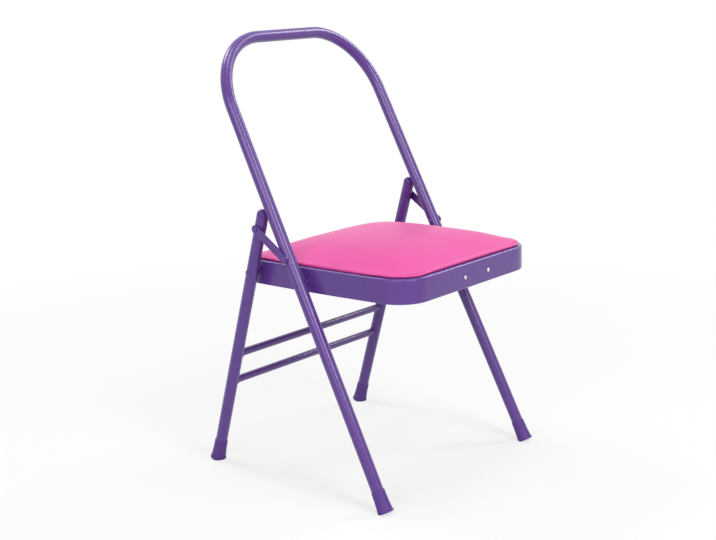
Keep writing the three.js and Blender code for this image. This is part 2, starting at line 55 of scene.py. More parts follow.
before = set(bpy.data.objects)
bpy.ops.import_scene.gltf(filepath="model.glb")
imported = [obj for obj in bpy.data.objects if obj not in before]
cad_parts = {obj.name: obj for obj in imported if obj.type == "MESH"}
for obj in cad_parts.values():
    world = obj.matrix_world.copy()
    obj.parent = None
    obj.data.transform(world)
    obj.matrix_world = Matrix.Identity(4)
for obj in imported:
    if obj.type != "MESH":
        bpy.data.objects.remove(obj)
cad_low, cad_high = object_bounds()

mm = 0.001
sides = ((-1, "left"), (1, "right"))

# The frame's box gives the overall height; the front feet stand where the hoop's axis meets the floor
overall_height = round(cad_high.z - cad_low.z, 4)
front_foot_x = 224 * mm
front_foot_y = -200.241 * mm

# Pivots, measured down the hoop from where the legs' axes cross it, and down the leg from its top
hoop_link_below_crossing = 114.7 * mm
hoop_seat_below_link = 48 * mm
leg_link_below_top = 25.2 * mm
leg_seat_below_link = 86 * mm

# Gaps: between tubes at the open stop, between touching pieces, and from the floor up to a tube's end
open_stop_gap = 0.3 * mm
fit_gap = 0.3 * mm
link_gap = 0.7 * mm
tube_end_rise = 4 * mm

# Places of the seat on its hinges
seat_front_reach = 222.3 * mm
seat_rear_reach = 39.2 * mm
rim_above_front_pivot = 26 * mm
rim_above_rear_pivot = 18 * mm
seat_hinge_room = 6.5 * mm
rear_corner_behind_hinge = 2.2 * mm

# Radius and height of each round end of a rivet
rivet_ends = {
    "hoop_link": (5.3 * mm, 2.6 * mm),
    "leg_link": (4.8 * mm, 2.8 * mm),
    "seat": (5.8 * mm, 1.6 * mm),
    "tail": (4.6 * mm, 1.8 * mm),
    "stub": (2.6 * mm, 0.2 * mm),
    "bracket": (3.4 * mm, 1.3 * mm),
    "bracket_tail": (2.9 * mm, 2.4 * mm),
}

# Faces round a tube, round a small piece, along a bend and round a corner of the seat
round_steps = 48
small_steps = 40
bend_steps = 44
corner_steps = 16

# The seat outlines' smallest corner, the shortest side that is cut up, and the number of its cuts
least_corner = 2 * mm
long_side = 100 * mm
side_cuts = 27

# A face looks along an axis where its normal has at least this share of it
facing = 0.9


# Sizes and colours

def length_prop(name, description, default):
    return bpy.props.FloatProperty(name=name, description=description, default=default,
                                   min=0, unit="LENGTH")


def angle_prop(name, description, degrees):
    return bpy.props.FloatProperty(name=name, description=description, default=math.radians(degrees),
                                   subtype="ANGLE", unit="ROTATION")


def colour_prop(name, description, default):
    return bpy.props.FloatVectorProperty(name=name, description=description, default=default,
                                         subtype="COLOR", size=3, min=0, max=1)


class ChairTubes(bpy.types.PropertyGroup):
    """Sizes of the hoop, the rear legs, the braces and their tips."""

    tube_radius: length_prop("Tube radius", "Outer radius of the hoop and the rear legs", 11 * mm)
    brace_radius: length_prop("Brace radius", "Outer radius of the two braces", 7 * mm)
    upper_brace_height: length_prop(
        "Upper brace height", "Height of the upper brace over the floor", 218.6 * mm)
    lower_brace_height: length_prop(
        "Lower brace height", "Height of the lower brace over the floor", 163 * mm)
    foot_spread: length_prop(
        "Foot spread", "Distance from the front feet back to the rear feet", 414 * mm)
    crossing_height: length_prop(
        "Crossing height", "Height at which the rear legs' axes meet the hoop's", 519.9 * mm)
    front_lean: angle_prop("Front lean", "Lean of the hoop from the upright", 27.6)
    hoop_splay: angle_prop("Hoop splay", "How far each side of the hoop leans in", 1)
    bend_radius: length_prop(
        "Bend radius", "Radius of the hoop's bends, to the middle of the tube", 134 * mm)
    leg_set_in: length_prop(
        "Leg set in", "How much further in than the hoop the rear legs stand", 0.4 * mm)
    tip_height: length_prop("Tip height", "Length of a foot tip along its tube", 41 * mm)
    tip_top_radius: length_prop("Tip top radius", "Radius of a foot tip at its upper end", 12.1 * mm)
    tip_foot_radius: length_prop("Tip foot radius", "Radius of a foot tip over its brim", 14.1 * mm)
    tip_brim_radius: length_prop("Tip brim radius", "Radius of a foot tip at its sole", 14.8 * mm)
    tip_sole_rise: length_prop(
        "Tip sole rise", "How far up the tube's axis from the floor the sole's middle lies", 1 * mm)


class ChairSeat(bpy.types.PropertyGroup):
    """Sizes of the seat rim, its pad and its board."""

    rim_height: length_prop("Rim height", "Height of the pressed rim", 44 * mm)
    rim_wall: length_prop("Rim wall", "Sheet thickness of the rim", 1.5 * mm)
    rim_edge: length_prop("Rim edge", "Radius of the rim's upper edge", 3.5 * mm)
    rim_bow: length_prop("Rim bow", "How far the rim's sides bow outwards", 4.7 * mm)
    front_corner: length_prop("Front corner", "Radius of the rim's front corners", 54 * mm)
    flange_width: length_prop("Flange width", "Width of the rim's upper flange", 32 * mm)
    lip_width: length_prop("Lip width", "Width of the rim's lower lip", 7 * mm)
    pad_inset: length_prop("Pad inset", "How far inside the rim's edge the pad's side stands", 5 * mm)
    pad_edge: length_prop("Pad edge", "Height of the pad's side over the rim", 5 * mm)
    pad_crown: length_prop("Pad crown", "Rise of the pad's middle over its edge", 29 * mm)
    pad_fullness: bpy.props.FloatProperty(
        name="Pad fullness", description="How far out to its edge the pad keeps its height",
        default=3, min=1.5, max=6)
    board_inset: length_prop("Board inset", "How far inside the rim's edge the board ends", 15 * mm)
    board_thickness: length_prop(
        "Board thickness", "Thickness of the plywood under the pad", 4 * mm)


class ChairLinks(bpy.types.PropertyGroup):
    """Sizes of the strap links and the front bracket."""

    link_thickness: length_prop("Link thickness", "Thickness of a strap link", 2.4 * mm)
    link_hoop_end: length_prop("Link hoop end", "Radius of the link's end on the hoop", 7.9 * mm)
    link_leg_end: length_prop("Link leg end", "Radius of the link's end on the rear leg", 7.8 * mm)
    link_waist_draw: length_prop(
        "Link waist draw", "How much narrower than its ends the link's waist is", 0.5 * mm)
    bracket_length: length_prop(
        "Bracket length", "Length of the angle behind the rim's front", 104 * mm)
    bracket_height: length_prop(
        "Bracket height", "Height of the angle behind the rim's front", 26 * mm)
    bracket_depth: length_prop("Bracket depth", "Depth of the angle's foot", 20 * mm)


class ChairColours(bpy.types.PropertyGroup):
    """Colours of the chair's finishes, as linear light."""

    coat: colour_prop("Powder coat", "Colour of the coated steel", (0.101, 0.036, 0.246))
    coat_deep: colour_prop("Powder coat, deep", "Darker tone within the coat", (0.090, 0.031, 0.224))
    tip: colour_prop("Foot tips", "Colour of the moulded tips and end plugs", (0.094, 0.035, 0.226))
    vinyl: colour_prop("Vinyl", "Colour of the seat cover", (0.705, 0.068, 0.322))
    # Painted shade: the darker vinyl colour laid into the grain's valleys, between the pebbles
    vinyl_valley_shade: colour_prop(
        "Vinyl, deep", "Colour in the grain of the seat cover", (0.635, 0.050, 0.268))
    zinc: colour_prop("Zinc", "Colour of the bright rivets and screws", (0.80, 0.80, 0.82))
    ply: colour_prop("Plywood", "Colour of the seat board", (0.52, 0.33, 0.165))
    ply_dark: colour_prop("Plywood grain", "Colour of the board's grain lines", (0.30, 0.165, 0.07))


def at(spot, angle=0, axis="Z"):
    """The matrix of something that stands at a spot and is turned about an axis."""
    return Matrix.Translation(spot) @ Matrix.Rotation(angle, 4, axis)


class Layout:
    """Places worked out from the chair's sizes, and the matrices of its leaning frames."""

    def __init__(self, scene):
        self.tubes, self.seat_sizes, self.links = scene.chair_tubes, scene.chair_seat, scene.chair_links
        tubes, seat = self.tubes, self.seat_sizes
        self.tube = tubes.tube_radius
        self.front_lean = tubes.front_lean
        self.rear_lean = math.atan(tubes.foot_spread / tubes.crossing_height - math.tan(self.front_lean))
        self.hoop_top = (overall_height - self.tube) / math.cos(self.front_lean)
        self.link_on_hoop = tubes.crossing_height / math.cos(self.front_lean) - hoop_link_below_crossing
        self.seat_on_hoop = self.link_on_hoop - hoop_seat_below_link
        self.leg_x = self.hoop_x(self.link_on_hoop) - tubes.leg_set_in
        stop = 2 * self.tube + open_stop_gap
        meet = math.sin(self.front_lean + self.rear_lean)
        self.leg_top = tubes.crossing_height / math.cos(self.rear_lean) - stop / meet
        self.link_on_leg = self.leg_top - leg_link_below_top
        self.seat_on_leg = self.link_on_leg - leg_seat_below_link
        step = self.on_leg(self.seat_on_leg) - self.on_hoop(self.seat_on_hoop)
        rise = rim_above_front_pivot - rim_above_rear_pivot
        run = math.sqrt(step.length_squared - rise ** 2)
        self.tilt = math.atan2(rise, run) - math.atan2(step.y, step.x)
        self.rear_pivot = seat_front_reach + run
        self.depth = self.rear_pivot + seat_rear_reach
        self.half_depth = self.depth / 2
        self.half_width = self.hoop_x(self.seat_on_hoop) - self.tube - seat_hinge_room
        self.rear_corner = seat_rear_reach - rear_corner_behind_hinge
        self.side_radius = (self.half_depth ** 2 + seat.rim_bow ** 2) / (2 * seat.rim_bow)
        link = self.on_leg(self.link_on_leg) - self.on_hoop(self.link_on_hoop)
        self.link_length = link.length
        self.link_angle = math.atan2(link.y, link.x)
        self.link_inner = self.hoop_x(self.link_on_hoop) + self.tube + link_gap
        self.link_outer = self.link_inner + self.links.link_thickness
        self.front = self.lean_frame(self.on_hoop(0), -self.front_lean)
        self.rear = self.lean_frame(self.on_leg(0), self.rear_lean)
        corner = Matrix.Rotation(-self.tilt, 2) @ Vector((-seat_front_reach, rim_above_front_pivot))
        self.seat = self.lean_frame(self.on_hoop(self.seat_on_hoop) + corner, -self.tilt)
        self.link = self.lean_frame(self.on_hoop(self.link_on_hoop), self.link_angle)

    def hoop_x(self, along):
        """Half the distance between the hoop's two axes, at a length along them from the floor."""
        return front_foot_x - along * math.tan(self.tubes.hoop_splay)

    def on_hoop(self, along):
        """The point of the hoop's axis at a length from the floor, as depth and height."""
        return Vector((along * math.sin(self.front_lean), along * math.cos(self.front_lean)))

    def on_leg(self, along):
        """The point of the rear leg's axis at a length from the floor, as depth and height."""
        spread = self.tubes.foot_spread
        return Vector((spread - along * math.sin(self.rear_lean), along * math.cos(self.rear_lean)))

    def tube_foot(self, lean):
        """The length along a leaning tube at which it ends inside its tip."""
        return (tube_end_rise + self.tube * math.sin(lean)) / math.cos(lean)

    def rim_x(self, y):
        """Half the rim's width at a depth from its front."""
        away = y - self.half_depth
        return self.half_width - self.side_radius + math.sqrt(self.side_radius ** 2 - away ** 2)

    def lean_frame(self, place, angle):
        """The matrix of a frame that stands at a depth and height and leans about X."""
        return at((0, place.x + front_foot_y, place.y), angle, "X")


# Modelling helpers

def deselect():
    """Leaves edit mode and selects nothing."""
    if bpy.context.object and bpy.context.object.mode != "OBJECT":
        bpy.ops.object.mode_set(mode="OBJECT")
    bpy.ops.object.select_all(action="DESELECT")


def only(piece):
    """Makes the piece the one selected and active object."""
    deselect()
    piece.select_set(True)
    bpy.context.view_layer.objects.active = piece


def edit(piece):
    """Opens the piece, and no other, for editing."""
    only(piece)
    bpy.ops.object.mode_set(mode="EDIT")


def bake_place():
    """Moves the selected object's place, turn and scale into its mesh."""
    bpy.ops.object.transform_apply(location=True, rotation=True, scale=True)


def begin(name, primitive, scale=(1, 1, 1), **settings):
    """Adds a primitive at its size and place, names it and opens it for editing."""
    deselect()
    primitive(**settings)
    piece = bpy.context.object
    piece.scale = scale
    bake_place()
    piece.name = piece.data.name = name
    bpy.ops.object.mode_set(mode="EDIT")
    return piece


def take_all(kind=None):
    """Selects the whole piece, as vertices, edges or faces where a kind is given."""
    if kind:
        bpy.ops.mesh.select_mode(type=kind)
    bpy.ops.mesh.select_all(action="SELECT")


def choose(piece, kind, test):
    """Selects the piece's vertices, edges or faces, in edit mode, that pass a test on middle and item."""
    bpy.ops.mesh.select_mode(type=kind)
    bpy.ops.mesh.select_all(action="DESELECT")
    mesh = bmesh.from_edit_mesh(piece.data)
    items, middle_of = {
        "VERT": (mesh.verts, lambda vert: vert.co),
        "EDGE": (mesh.edges, lambda edge: (edge.verts[0].co + edge.verts[1].co) / 2),
        "FACE": (mesh.faces, lambda face: face.calc_center_median()),
    }[kind]
    for item in items:
        if test(middle_of(item), item):
            item.select_set(True)
    mesh.select_flush_mode()
    bmesh.update_edit_mesh(piece.data)


def same(first, second):
    return abs(first - second) < 1e-5


def extrude(step):
    """Extrudes what is selected by a step."""
    bpy.ops.mesh.extrude_region_move(TRANSFORM_OT_translate={"value": tuple(step)})


def resize(share, centre):
    """Scales what is selected about a point."""
    bpy.ops.transform.resize(value=share, center_override=tuple(centre))


def close_up(distance=0.001 * mm):
    """Joins points that are nearer than a distance, turns every face outwards and ends the editing."""
    take_all()
    bpy.ops.mesh.remove_doubles(threshold=distance)
    bpy.ops.mesh.normals_make_consistent(inside=False)
    deselect()


def bevel(offset, segments, affect="EDGES"):
    """Rounds the selected edges or vertices."""
    bpy.ops.mesh.bevel(offset=offset, offset_type="OFFSET", segments=segments, profile=0.5,
                       affect=affect)


def modifier(piece, kind, **settings):
    """Adds a modifier with its settings and applies it."""
    only(piece)
    bpy.ops.object.modifier_add(type=kind)
    added = piece.modifiers[-1]
    for name, value in settings.items():
        setattr(added, name, value)
    bpy.ops.object.modifier_apply(modifier=added.name)


def rounded(piece, width, segments=2, angle=60):
    """Rounds the piece's edges that are sharper than an angle in degrees."""
    modifier(piece, "BEVEL", width=width, segments=segments, limit_method="ANGLE",
             angle_limit=math.radians(angle), harden_normals=False)


def twin(piece, name):
    """A copy of the piece with its own mesh."""
    other = piece.copy()
    other.data = piece.data.copy()
    other.name = other.data.name = name
    bpy.context.scene.collection.objects.link(other)
    return other


def discard(*patterns):
    """Removes pattern pieces once their copies stand."""
    deselect()
    for piece in patterns:
        bpy.data.objects.remove(piece, do_unlink=True)


def place(piece, matrix):
    """Puts the piece in the frame and bakes its place into its mesh."""
    only(piece)
    piece.matrix_world = matrix
    bpy.context.view_layer.update()
    bake_place()


def hand_over(piece, body, kind, *nodes, smooth=40):
    """Shades the piece, gives it its finish and lets it ride on its body in place of its nodes."""
    only(piece)
    bpy.ops.object.shade_smooth_by_angle(angle=math.radians(smooth))
    piece.data.materials.append(finish_of(kind))
    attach(piece, body)
    if nodes:
        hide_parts(*nodes)


def set_down(piece, matrix, body, kind, *nodes, smooth=40):
    """Places the piece and hands it over."""
    place(piece, matrix)
    hand_over(piece, body, kind, *nodes, smooth=smooth)


def turned(name, profile, steps=small_steps):
    """A round piece about Z with one ring for each radius and height, closed at both ends."""
    (radius, height), *rest = profile
    piece = begin(name, bpy.ops.mesh.primitive_circle_add, vertices=steps, radius=radius,
                  location=(0, 0, height))
    take_all("EDGE")
    for (here, low), (above, high) in zip(profile, rest):
        extrude((0, 0, high - low))
        if above == 0:
            bpy.ops.mesh.merge(type="CENTER")
            break
        resize((above / here, above / here, 1), (0, 0, high))
    else:
        bpy.ops.mesh.edge_face_add()
    choose(piece, "EDGE", lambda middle, edge: edge.is_boundary)
    bpy.ops.mesh.edge_face_add()
    close_up()
    return piece


def dome(radius, height, base, way, steps):
    """Radii and heights of a domed end, from its rim to the axis."""
    points = []
    for step in range(steps):
        angle = math.pi / 2 * step / steps
        points.append((radius * math.cos(angle), base + way * height * math.sin(angle)))
    return [*points, (0, base + way * height)]


# Finishes

class Value:
    """A number that changes over a surface; sums and products with it add Math nodes."""

    def __init__(self, nodes, socket):
        self.nodes, self.socket = nodes, socket

    def __add__(self, other):
        return self.nodes.maths("ADD", self, other)

    def __sub__(self, other):
        return self.nodes.maths("SUBTRACT", self, other)

    def __mul__(self, other):
        return self.nodes.maths("MULTIPLY", self, other)

    def __truediv__(self, other):
        return self.nodes.maths("DIVIDE", self, other)


class Nodes:
    """A node tree, with one way to add a node and one to feed a socket."""

    def __init__(self, tree):
        self.tree = tree

    def add(self, kind, settings=None, **sockets):
        """Adds a node, sets its settings, then its sockets, by name or as n0, n1, from values or links."""
        node = self.tree.nodes.new(kind)
        for name, value in (settings or {}).items():
            setattr(node, name, value)
        for name, value in sockets.items():
            key = int(name[1:]) if name[0] == "n" and name[1:].isdigit() else name.replace("_", " ")
            self.feed(node.inputs[key], value)
        return node

    def feed(self, socket, value):
        """Links a value to a socket, or writes a plain number or colour into it."""
        if isinstance(value, Value):
            value = value.socket
        if isinstance(value, bpy.types.NodeSocket):
            self.tree.links.new(value, socket)
        elif socket.type == "RGBA":
            socket.default_value = (*value, 1)
        else:
            socket.default_value = value

    def maths(self, operation, first, second):
        node = self.add("ShaderNodeMath", {"operation": operation}, n0=first, n1=second)
        return Value(self, node.outputs[0])

    def seen(self):
        """1 where the picture, a mirror or glass looks at the surface, 0 where light falls on it."""
        rays = self.add("ShaderNodeLightPath").outputs
        direct = self.maths("MAXIMUM", rays["Is Camera Ray"], rays["Is Glossy Ray"])
        return self.maths("MAXIMUM", direct, rays["Is Transmission Ray"])


class Finish(Nodes):
    """A node material: a Principled surface, and what varies its colour, gloss and height."""

    def __init__(self, name, **surface):
        self.material = bpy.data.materials.new(name)
        self.material.use_nodes = True
        super().__init__(self.material.node_tree)
        self.shader = self.tree.nodes["Principled BSDF"]
        for socket, value in surface.items():
            self.feed(self.shader.inputs[socket.replace("_", " ")], value)
        self.place = self.add("ShaderNodeTexCoord").outputs["Object"]

    def noise(self, scale, detail, roughness, place=None):
        """Noise of a scale, detail and roughness over the surface, or over another place."""
        node = self.add("ShaderNodeTexNoise", Vector=place or self.place, Scale=scale,
                        Detail=detail, Roughness=roughness)
        return Value(self, node.outputs[0])

    def stretched(self, scale, turn=(0, 0, 0)):
        """The place on the surface, turned and stretched, so that a pattern runs along an axis."""
        return self.add("ShaderNodeMapping", Vector=self.place, Scale=scale, Rotation=turn).outputs[0]

    def height_over(self):
        """The height of the surface over the floor, in metres."""
        return Value(self, self.add("ShaderNodeSeparateXYZ", Vector=self.place).outputs["Z"])

    def ramp(self, value, stops):
        """The value as a shade between two stops, each a position and the shade that it gets there."""
        node = self.add("ShaderNodeValToRGB", Fac=value)
        for stop, (position, shade) in zip(node.color_ramp.elements, stops):
            stop.position, stop.color = position, (shade, shade, shade, 1)
        return Value(self, node.outputs["Color"])

    def blend(self, share, first, second):
        """The first colour, turning into the second one by a share."""
        node = self.add("ShaderNodeMix", {"data_type": "RGBA", "clamp_factor": True},
                        n0=share, n6=first, n7=second)
        return node.outputs[2]

    def done(self, colour, roughness, height, depth, strength):
        """Feeds the shader's colour, roughness and bumped normal, and returns the material."""
        bump = self.add("ShaderNodeBump", Strength=strength, Distance=depth, Height=height)
        for socket, value in (("Base Color", colour), ("Roughness", roughness),
                              ("Normal", bump.outputs[0])):
            self.feed(self.shader.inputs[socket], value)
        return self.material


def darker(colour, share):
    """The colour at a share of its light, or paler where the share is over 1."""
    return tuple(part * share for part in colour)


def powder_coat(name, colours):
    """Gloss powder coat on steel: a fine orange peel, soft mottling and rubbed patches near the floor."""
    finish = Finish(name, Specular_IOR_Level=0.1, Coat_Weight=0.8, Coat_Roughness=0.23)
    mottle = finish.noise(38, 3, 0.6)
    peel = finish.noise(620, 2, 0.45)
    fine = finish.noise(2600, 2, 0.6)
    colour = finish.blend(finish.ramp(mottle, [(0.30, 0), (0.72, 1)]), colours.coat_deep, colours.coat)
    speck = finish.ramp(fine, [(0.60, 0), (0.72, 1)])
    colour = finish.blend(speck * 0.12, colour, darker(colours.coat, 1.5))
    rub_height = 0.22
    low = finish.ramp(finish.height_over() / rub_height, [(0.20, 1), (1.0, 0)])
    lines = finish.noise(90, 4, 0.7, place=finish.stretched((14, 14, 1.4), (0.3, 0.2, 0.1)))
    rub = finish.ramp(lines, [(0.64, 0), (0.74, 1)]) * low
    colour = finish.blend(rub * 0.25, colour, darker(colours.coat, 1.35))
    roughness = mottle * 0.05 + fine * 0.04 + rub * 0.18 + 0.24
    return finish.done(colour, roughness, peel + fine * 0.1, depth=0.0015 * mm, strength=0.5)


def moulded_plastic(name, colours):
    """Moulded tips: a fine satin texture, and dust and rubbing where they meet the floor."""
    finish = Finish(name, Specular_IOR_Level=0.3)
    texture = finish.noise(1500, 3, 0.6)
    mottle = finish.noise(60, 3, 0.6)
    dust_height = 0.02
    foot = finish.ramp(finish.height_over() / dust_height, [(0.0, 1), (0.55, 0)])
    dust = foot * finish.ramp(finish.noise(240, 4, 0.7), [(0.35, 0.25), (0.65, 1)])
    colour = finish.blend(mottle, darker(colours.tip, 0.88), darker(colours.tip, 1.08))
    colour = finish.blend(dust * 0.55, colour, darker(colours.tip, 0.45))
    roughness = texture * 0.10 + dust * 0.2 + 0.38
    return finish.done(colour, roughness, texture + mottle * 0.6, depth=0.014 * mm, strength=0.5)


def grained_vinyl(name, colours):
    """Satin upholstery vinyl: pebbled grain with fine creases, and painted shade that darkens it between
    the pebbles.
    """
    finish = Finish(name, Specular_IOR_Level=0.36, Sheen_Weight=0.18, Sheen_Roughness=0.35)
    warp = finish.add("ShaderNodeTexNoise", Vector=finish.place, Scale=260, Detail=2, Roughness=0.5)
    drift = finish.add("ShaderNodeVectorMath", {"operation": "SCALE"}, n0=warp.outputs[1],
                       Scale=0.9 * mm).outputs[0]
    moved = finish.add("ShaderNodeVectorMath", {"operation": "ADD"}, n0=finish.place, n1=drift).outputs[0]
    cells = finish.add("ShaderNodeTexVoronoi", {"feature": "SMOOTH_F1"}, Vector=moved, Scale=640,
                       Smoothness=0.35)
    pebbles = Value(finish, cells.outputs["Distance"])
    pores = finish.noise(2400, 2, 0.6)
    cloud = finish.noise(16, 3, 0.55)
    # The share between the pebbles paints shade into the grain's valleys, and also roughens them
    grain = finish.ramp(pebbles, [(0.0, 0), (0.75, 1)])
    colour = finish.blend(grain * 0.30 + cloud * 0.10, colours.vinyl, colours.vinyl_valley_shade)
    roughness = grain * 0.10 + cloud * 0.05 + Value(finish, warp.outputs[0]) * 0.02 + 0.36
    return finish.done(colour, roughness, pores * 0.15 - pebbles + 1, depth=0.10 * mm, strength=0.5)


def bright_zinc(name, colours):
    """Plated steel: bright, with turning marks and a little cloudiness."""
    finish = Finish(name, Metallic=1.0)
    cloud = finish.noise(420, 3, 0.6)
    marks = finish.noise(1800, 2, 0.6, place=finish.stretched((6, 1, 1)))
    colour = finish.blend(cloud * 0.5, colours.zinc, darker(colours.zinc, 0.78))
    return finish.done(colour, cloud * 0.14 + 0.20, marks, depth=0.02 * mm, strength=0.5)


def birch_plywood(name, colours):
    """Rotary-cut plywood: long drifting grain with pores."""
    finish = Finish(name, Specular_IOR_Level=0.3)
    drift = finish.noise(9, 3, 0.55, place=finish.stretched((1, 7, 1)))
    waves = finish.add("ShaderNodeTexWave", {"wave_type": "BANDS", "bands_direction": "Y"},
                       Vector=finish.stretched((0.35, 1, 0.2)), Scale=26.0, Distortion=7.0,
                       Detail=3.0, Detail_Scale=1.6)
    pores = finish.noise(420, 3, 0.65, place=finish.stretched((0.08, 1, 1)))
    lines = finish.ramp(pores, [(0.56, 0), (0.70, 1)])
    share = Value(finish, waves.outputs[1]) * 0.35 + drift * 0.30 + lines * 0.35
    colour = finish.blend(share, colours.ply, colours.ply_dark)
    return finish.done(colour, lines * 0.15 + 0.62, drift - lines * 0.6, depth=0.12 * mm, strength=0.6)


# Each finish, and the slot of the frame that it fills
finish_kinds = {
    "coat": (powder_coat, "purple_coat"),
    "plastic": (moulded_plastic, "purple_plastic"),
    "vinyl": (grained_vinyl, "pink_vinyl"),
    "zinc": (bright_zinc, "bright_zinc"),
    "ply": (birch_plywood, "plywood"),
}
finishes = {}


def finish_of(kind):
    """The chair's finish of this kind, mixed the first time that it is asked for."""
    if kind not in finishes:
        mix, slot = finish_kinds[kind]
        finishes[kind] = mix(f"chair_{kind}", bpy.context.scene.chair_colours)
    return finishes[kind]


# Frame pieces

class CHAIR_OT_bend_hoop(bpy.types.Operator):
    """Bends the hoop and front legs from one tube"""

    bl_idname = "yoga_chair.bend_hoop"
    bl_label = "Bend the hoop"

    def execute(self, context):
        lay = Layout(context.scene)
        splay, radius = lay.tubes.hoop_splay, lay.tubes.bend_radius
        foot = lay.tube_foot(lay.front_lean)
        bend_z = lay.hoop_top - radius
        across = lay.hoop_x(bend_z) - radius / math.cos(splay)
        start = Vector((-lay.hoop_x(foot), 0, foot))
        first = Vector((-across, 0, bend_z)) + Vector((-math.cos(splay), 0, math.sin(splay))) * radius
        hoop = begin("hoop_tube", bpy.ops.mesh.primitive_circle_add, vertices=round_steps,
                     radius=lay.tube, location=start, rotation=(0, splay, 0))
        take_all()
        bpy.ops.mesh.edge_face_add()
        take_all("FACE")
        extrude(first - start)
        self.bend(-across, bend_z, splay)
        extrude((2 * across, 0, 0))
        self.bend(across, bend_z, splay)
        extrude((first.x - start.x, 0, start.z - first.z))
        close_up()
        set_down(hoop, lay.front, "front_frame", "coat", "front_hoop", smooth=50)
        return {"FINISHED"}

    def bend(self, x, z, splay):
        """Bends the tube's open end round a centre, up to the level or down again."""
        bpy.ops.mesh.spin(steps=bend_steps, angle=math.pi / 2 - splay, center=(x, 0, z), axis=(0, -1, 0))


class CHAIR_OT_cut_rear_legs(bpy.types.Operator):
    """Cuts the rear legs and caps them with domed plugs"""

    bl_idname = "yoga_chair.cut_rear_legs"
    bl_label = "Cut the rear legs"

    ring_over_tip = 60 * mm
    tube_edge = 0.35 * mm
    plug_depth, plug_play = 6 * mm, 2 * mm
    cap_draw, cap_gap, cap_edge, cap_side = 0.05 * mm, 0.25 * mm, 0.3 * mm, 1.1 * mm

    def execute(self, context):
        lay = Layout(context.scene)
        foot = lay.tube_foot(lay.rear_lean)
        leg = turned("leg_pattern", [
            (lay.tube, foot), (lay.tube, foot + self.ring_over_tip), (lay.tube, lay.link_on_leg),
            (lay.tube, lay.leg_top - self.tube_edge), (lay.tube - self.tube_edge, lay.leg_top),
        ], round_steps)
        cap, neck, base = lay.tube - self.cap_draw, lay.tube - self.plug_play, lay.leg_top + self.cap_gap
        plug = turned("plug_pattern", [
            (neck, lay.leg_top - self.plug_depth), (neck, base),
            (cap - self.cap_edge, base), (cap, base + self.cap_edge),
            *dome(cap, lay.tube - fit_gap - self.cap_side, base + self.cap_side, way=1, steps=12),
        ], round_steps)
        for side, word in sides:
            stand = lay.rear @ at((side * lay.leg_x, 0, 0))
            set_down(twin(leg, f"rear_leg_tube_{word}"), stand, "rear_frame", "coat", f"rear_leg_{word}")
            set_down(twin(plug, f"rear_leg_cap_{word}"), stand, "rear_frame", "plastic",
                     f"leg_end_plug_{word}", smooth=60)
        discard(leg, plug)
        return {"FINISHED"}


class CHAIR_OT_weld_braces(bpy.types.Operator):
    """Cuts the two braces and runs the weld beads round their ends"""

    bl_idname = "yoga_chair.weld_braces"
    bl_label = "Weld the braces"

    end_in_leg = 0.86
    bead_steps, bead_radius, bead_off_brace, bead_off_leg = 72, 1.45 * mm, 0.5 * mm, 0.2 * mm
    # Height, number and start of the bead's ripples
    ripples = ((0.16, 12, 0), (0.05, 5, 1))

    def execute(self, context):
        lay = Layout(context.scene)
        tubes = lay.tubes
        radius, end = tubes.brace_radius, lay.leg_x - lay.tube * self.end_in_leg
        bar = turned("brace_pattern", [(radius, -end), (radius, 0), (radius, end)])
        bead = self.bead(lay, radius + self.bead_off_brace)
        for word, height in (("upper", tubes.upper_brace_height), ("lower", tubes.lower_brace_height)):
            spot = (0, 0, height / math.cos(lay.rear_lean))
            set_down(twin(bar, f"{word}_brace_tube"), lay.rear @ at(spot, math.pi / 2, "Y"),
                     "rear_frame", "coat", f"{word}_brace")
            for side, hand in sides:
                stand = lay.rear @ at(spot, 0 if side > 0 else math.pi)
                set_down(twin(bead, f"{word}_brace_weld_{hand}"), stand, "rear_frame", "coat", smooth=80)
        discard(bar, bead)
        return {"FINISHED"}

    def bead(self, lay, ring):
        """A rippled bead where the brace runs into the leg, on the right side, about the brace's axis."""
        steps = self.bead_steps
        piece = begin("weld_pattern", bpy.ops.mesh.primitive_torus_add, major_segments=steps,
                      minor_segments=12, major_radius=ring, minor_radius=self.bead_radius,
                      rotation=(0, math.pi / 2, 0))
        members = {}
        for vert in bmesh.from_edit_mesh(piece.data).verts:
            turn = math.atan2(vert.co.y, vert.co.z)
            members.setdefault(round(turn / (2 * math.pi) * steps) % steps, set()).add(vert.index)
        for step, indices in sorted(members.items()):
            choose(piece, "VERT", lambda middle, vert: vert.index in indices)
            turn = 2 * math.pi * step / steps
            y, z = ring * math.sin(turn), ring * math.cos(turn)
            swell = 1 + sum(height * math.cos(count * turn + start)
                            for height, count, start in self.ripples)
            resize((swell, swell, swell), (0, y, z))
            x = lay.leg_x - math.sqrt((lay.tube + self.bead_off_leg) ** 2 - y ** 2)
            bpy.ops.transform.translate(value=(x, 0, 0))
        close_up()
        return piece


